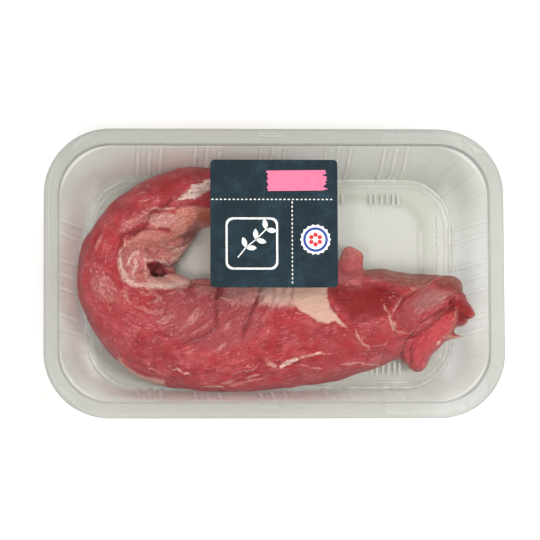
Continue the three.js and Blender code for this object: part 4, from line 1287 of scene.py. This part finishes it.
# The brush stroke's two ends: place of the top, how far the edge strays, and the pitch and seed of that
STROKE_ENDS = ((-3.2, 26.4, 2.2, 1.7, 3.1), (25.5, 26.7, 2.6, 1.3, 9.4))
STROKE_STEP, STROKE_STEPS = 0.85, 13
# The scalloped seal, and the ring and petals on it
SEAL_CENTRE, SEAL_RADIUS, SCALLOP, SCALLOPS = (20.5, -8), 7.3, 0.38, 18
RING_RADIUS, RING_HALF, RING_STEPS = 5.5, 0.65, 48
PETALS, PETAL_RADIUS, PETALS_FROM_CENTRE = 6, 1.15, 2.4


def on_label(outline):
    return [(x + LABEL_CENTRE[0], y + LABEL_CENTRE[1]) for x, y in outline]


def print_layer(name, outlines, level, material):
    """One colour of the print, as thin flat shapes."""
    top = PAPER_TOP + level * PRINT_LAYER
    points, faces = joined(prism(on_label(outline), PAPER_TOP - PRINT_SUNK, top) for outline in outlines)
    return new_piece(name, points, faces, material, smooth=False)


def on_circle(centre, radius, turn):
    return centre[0] + radius * math.cos(turn), centre[1] + radius * math.sin(turn)


def disc(centre, radius, steps, scallop=0.0, scallops=0):
    turns = [2 * math.pi * k / steps for k in range(steps)]
    return [on_circle(centre, radius + scallop * math.cos(scallops * turn), turn) for turn in turns]


def line_across(start, end, half_width):
    """The four corners of a straight line of that width."""
    start, end = np.array(start, float), np.array(end, float)
    along = (end - start) / np.linalg.norm(end - start)
    side = np.array((-along[1], along[0])) * half_width
    return [tuple(corner) for corner in (start - side, end - side, end + side, start + side)]


def dashes(start, end):
    start, end = np.array(start, float), np.array(end, float)
    span = np.linalg.norm(end - start)
    along = (end - start) / span
    starts = [start + along * (k * DASH_PITCH) for k in range(int(span / DASH_PITCH))]
    return [line_across(place, place + along * DASH_LENGTH, DASH_HALF) for place in starts]


def square_frame():
    """A frame with round corners, made of four-sided shapes."""
    corners = rounded_outline(FRAME_HALF, FRAME_HALF, FRAME_CORNER, 6)
    shrink = 1 - FRAME_LINE / FRAME_HALF
    pieces = []
    for (x1, y1), (x2, y2) in zip(corners, corners[1:] + corners[:1]):
        quad = ((x1 * shrink, y1 * shrink), (x2 * shrink, y2 * shrink), (x2, y2), (x1, y1))
        pieces.append([(x + FRAME_CENTRE[0], y + FRAME_CENTRE[1]) for x, y in quad])
    return pieces


def leaf(place, angle, steps=8):
    outline = []
    for k in range(2 * steps):
        t = k / steps if k < steps else 2 - k / steps
        side = 1 if k < steps else -1
        along, across = LEAF_LENGTH * t, side * LEAF_HALF * math.sin(math.pi * min(t, 1)) ** 0.8
        outline.append((
            place[0] + along * math.cos(angle) + across * math.sin(angle),
            place[1] + along * math.sin(angle) - across * math.cos(angle),
        ))
    return outline


def herb_sprig():
    pieces = []
    for start, end in zip(STEM, STEM[1:]):
        angle = math.atan2(end[1] - start[1], end[0] - start[0])
        pieces.append(line_across(start, end, STEM_HALF))
        pieces += [leaf(end, angle + turn) for turn in (LEAF_TURN, -LEAF_TURN)]
    return pieces


def ragged_end(x, top, reach, pitch, seed):
    return [
        (x + reach * noise.noise(Vector((k * pitch, seed, 0))), top - STROKE_STEP * k)
        for k in range(STROKE_STEPS)
    ]


def ring_outlines():
    """A ring made of short joined four-sided shapes."""
    inner, outer = RING_RADIUS - RING_HALF, RING_RADIUS + RING_HALF
    turns = [2 * math.pi * k / RING_STEPS for k in range(RING_STEPS + 1)]
    pieces = []
    for a, b in zip(turns, turns[1:]):
        corners = ((inner, a), (outer, a), (outer, b), (inner, b))
        pieces.append([on_circle(SEAL_CENTRE, radius, turn) for radius, turn in corners])
    return pieces


def make_label():
    paper = on_label(rounded_outline(LABEL_HALF_X, LABEL_HALF_Y, LABEL_CORNER, 8))
    slate = printed_paper("label_paper_slate_print", SLATE, SLATE_WIPED, 9.0, 0.7)
    pieces = [new_piece("label_slate", *prism(paper, LABEL_BOTTOM, PAPER_TOP), slate, smooth=False)]

    chalk_lines = [dash for line in DASHED_LINES for dash in dashes(*line)] + square_frame() + herb_sprig()
    chalk = printed_paper("label_paper_chalk_print", CHALK_WHITE, SLATE_WIPED, 1.2, 0.55)
    pieces.append(print_layer("label_chalk_lines", chalk_lines, 1, chalk))

    left_end, right_end = (ragged_end(*stroke_end) for stroke_end in STROKE_ENDS)
    pink = printed_paper("label_paper_pink_print", PRINT_PINK, PRINT_PINK_DEEP, 3.0, 0.35)
    pieces.append(print_layer("label_pink_brush_strokes", [left_end + right_end[::-1]], 1, pink))

    seal = disc(SEAL_CENTRE, SEAL_RADIUS, 4 * SCALLOPS, SCALLOP, SCALLOPS)
    white = printed_paper("label_paper_white_print", PRINT_WHITE, CHALK_WHITE, 4.0, 0.5)
    pieces.append(print_layer("label_white_seal", [seal], 1, white))
    blue = printed_paper("label_paper_blue_print", PRINT_BLUE, PRINT_BLUE, 4.0, 0.0)
    pieces.append(print_layer("label_blue_ring", ring_outlines(), 2, blue))
    turns = [math.pi * (0.5 + 2 * k / PETALS) for k in range(PETALS)]
    petals = [disc(on_circle(SEAL_CENTRE, PETALS_FROM_CENTRE, turn), PETAL_RADIUS, 16) for turn in turns]
    red = printed_paper("label_paper_red_print", PRINT_RED, PRINT_RED, 4.0, 0.0)
    pieces.append(print_layer("label_red_petals", petals, 2, red))
    return pieces


tenderloin = make_tenderloin()
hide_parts("tenderloin")

meat_places = np.empty(len(tenderloin.data.vertices) * 3)
tenderloin.data.vertices.foreach_get("co", meat_places)
# One point of the meat in seven is enough to tell how near it is
some_meat_places = meat_places.reshape(-1, 3)[::7] / MM
tray_pieces = (make_tray(some_meat_places), make_rib_ends_and_highlights())
for piece in tray_pieces:
    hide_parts("tray")

film = make_film()
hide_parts("lid_film")

label_pieces = make_label()
for piece in label_pieces:
    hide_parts("label")

for piece in (tenderloin, *tray_pieces, film, *label_pieces):
    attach(piece, "root")

# Floor, light and camera

FLOOR_HALF_MM = 3000
FLOOR_BOTTOM_MM, FLOOR_TOP_MM = -20, -0.05
floor_shape = bar((0, 0), (FLOOR_HALF_MM, FLOOR_HALF_MM), FLOOR_BOTTOM_MM, FLOOR_TOP_MM)
floor = new_piece("floor", *floor_shape, studio_floor(), smooth=False)

world = bpy.data.worlds.new("studio")
bpy.context.scene.world = world
world.use_nodes = True
background = world.node_tree.nodes["Background"].inputs
background["Color"].default_value = linear("#fdfdfc")
background["Strength"].default_value = 0.8


LIT_PLACE = Vector((0, 0, 0.03))


def softbox(name, place, width, power):
    lamp = bpy.data.lights.new(name, "AREA")
    lamp.shape = "RECTANGLE"
    lamp.size, lamp.size_y = width, width
    lamp.energy = power
    box = bpy.data.objects.new(name, lamp)
    box.location = place
    box.rotation_euler = (LIT_PLACE - Vector(place)).to_track_quat("-Z", "Y").to_euler()
    bpy.context.scene.collection.objects.link(box)


softbox("softbox_front_left", (-0.3, -0.42, 1.45), 0.22, 5.2)
softbox("softbox_right", (0.38, -0.2, 1.1), 0.22, 6.0)
softbox("softbox_back", (0.05, 0.48, 1.45), 0.24, 4.6)

# The photograph is taken from nearly straight above with a long lens
CAMERA_PLACE = Vector((-0.0997, -0.2311, 2.050))
CAMERA_TARGET = Vector((-0.0023, 0.0014, 0.050))
CAMERA_ROLL = math.radians(0.27)
camera_data = bpy.data.cameras.new("camera")
camera_data.lens = 272
camera_data.sensor_width = 36
camera_data.clip_end = 20
camera = bpy.data.objects.new("camera", camera_data)
camera.location = CAMERA_PLACE
forward = (CAMERA_TARGET - CAMERA_PLACE).normalized()
rightward = forward.cross(Vector((0, 1, 0))).normalized()
upright = Matrix((rightward, rightward.cross(forward), -forward)).transposed()
camera.rotation_euler = (Matrix.Rotation(CAMERA_ROLL, 3, forward) @ upright).to_euler()
bpy.context.scene.collection.objects.link(camera)
bpy.context.scene.camera = camera
bpy.context.scene.view_settings.view_transform = "Standard"
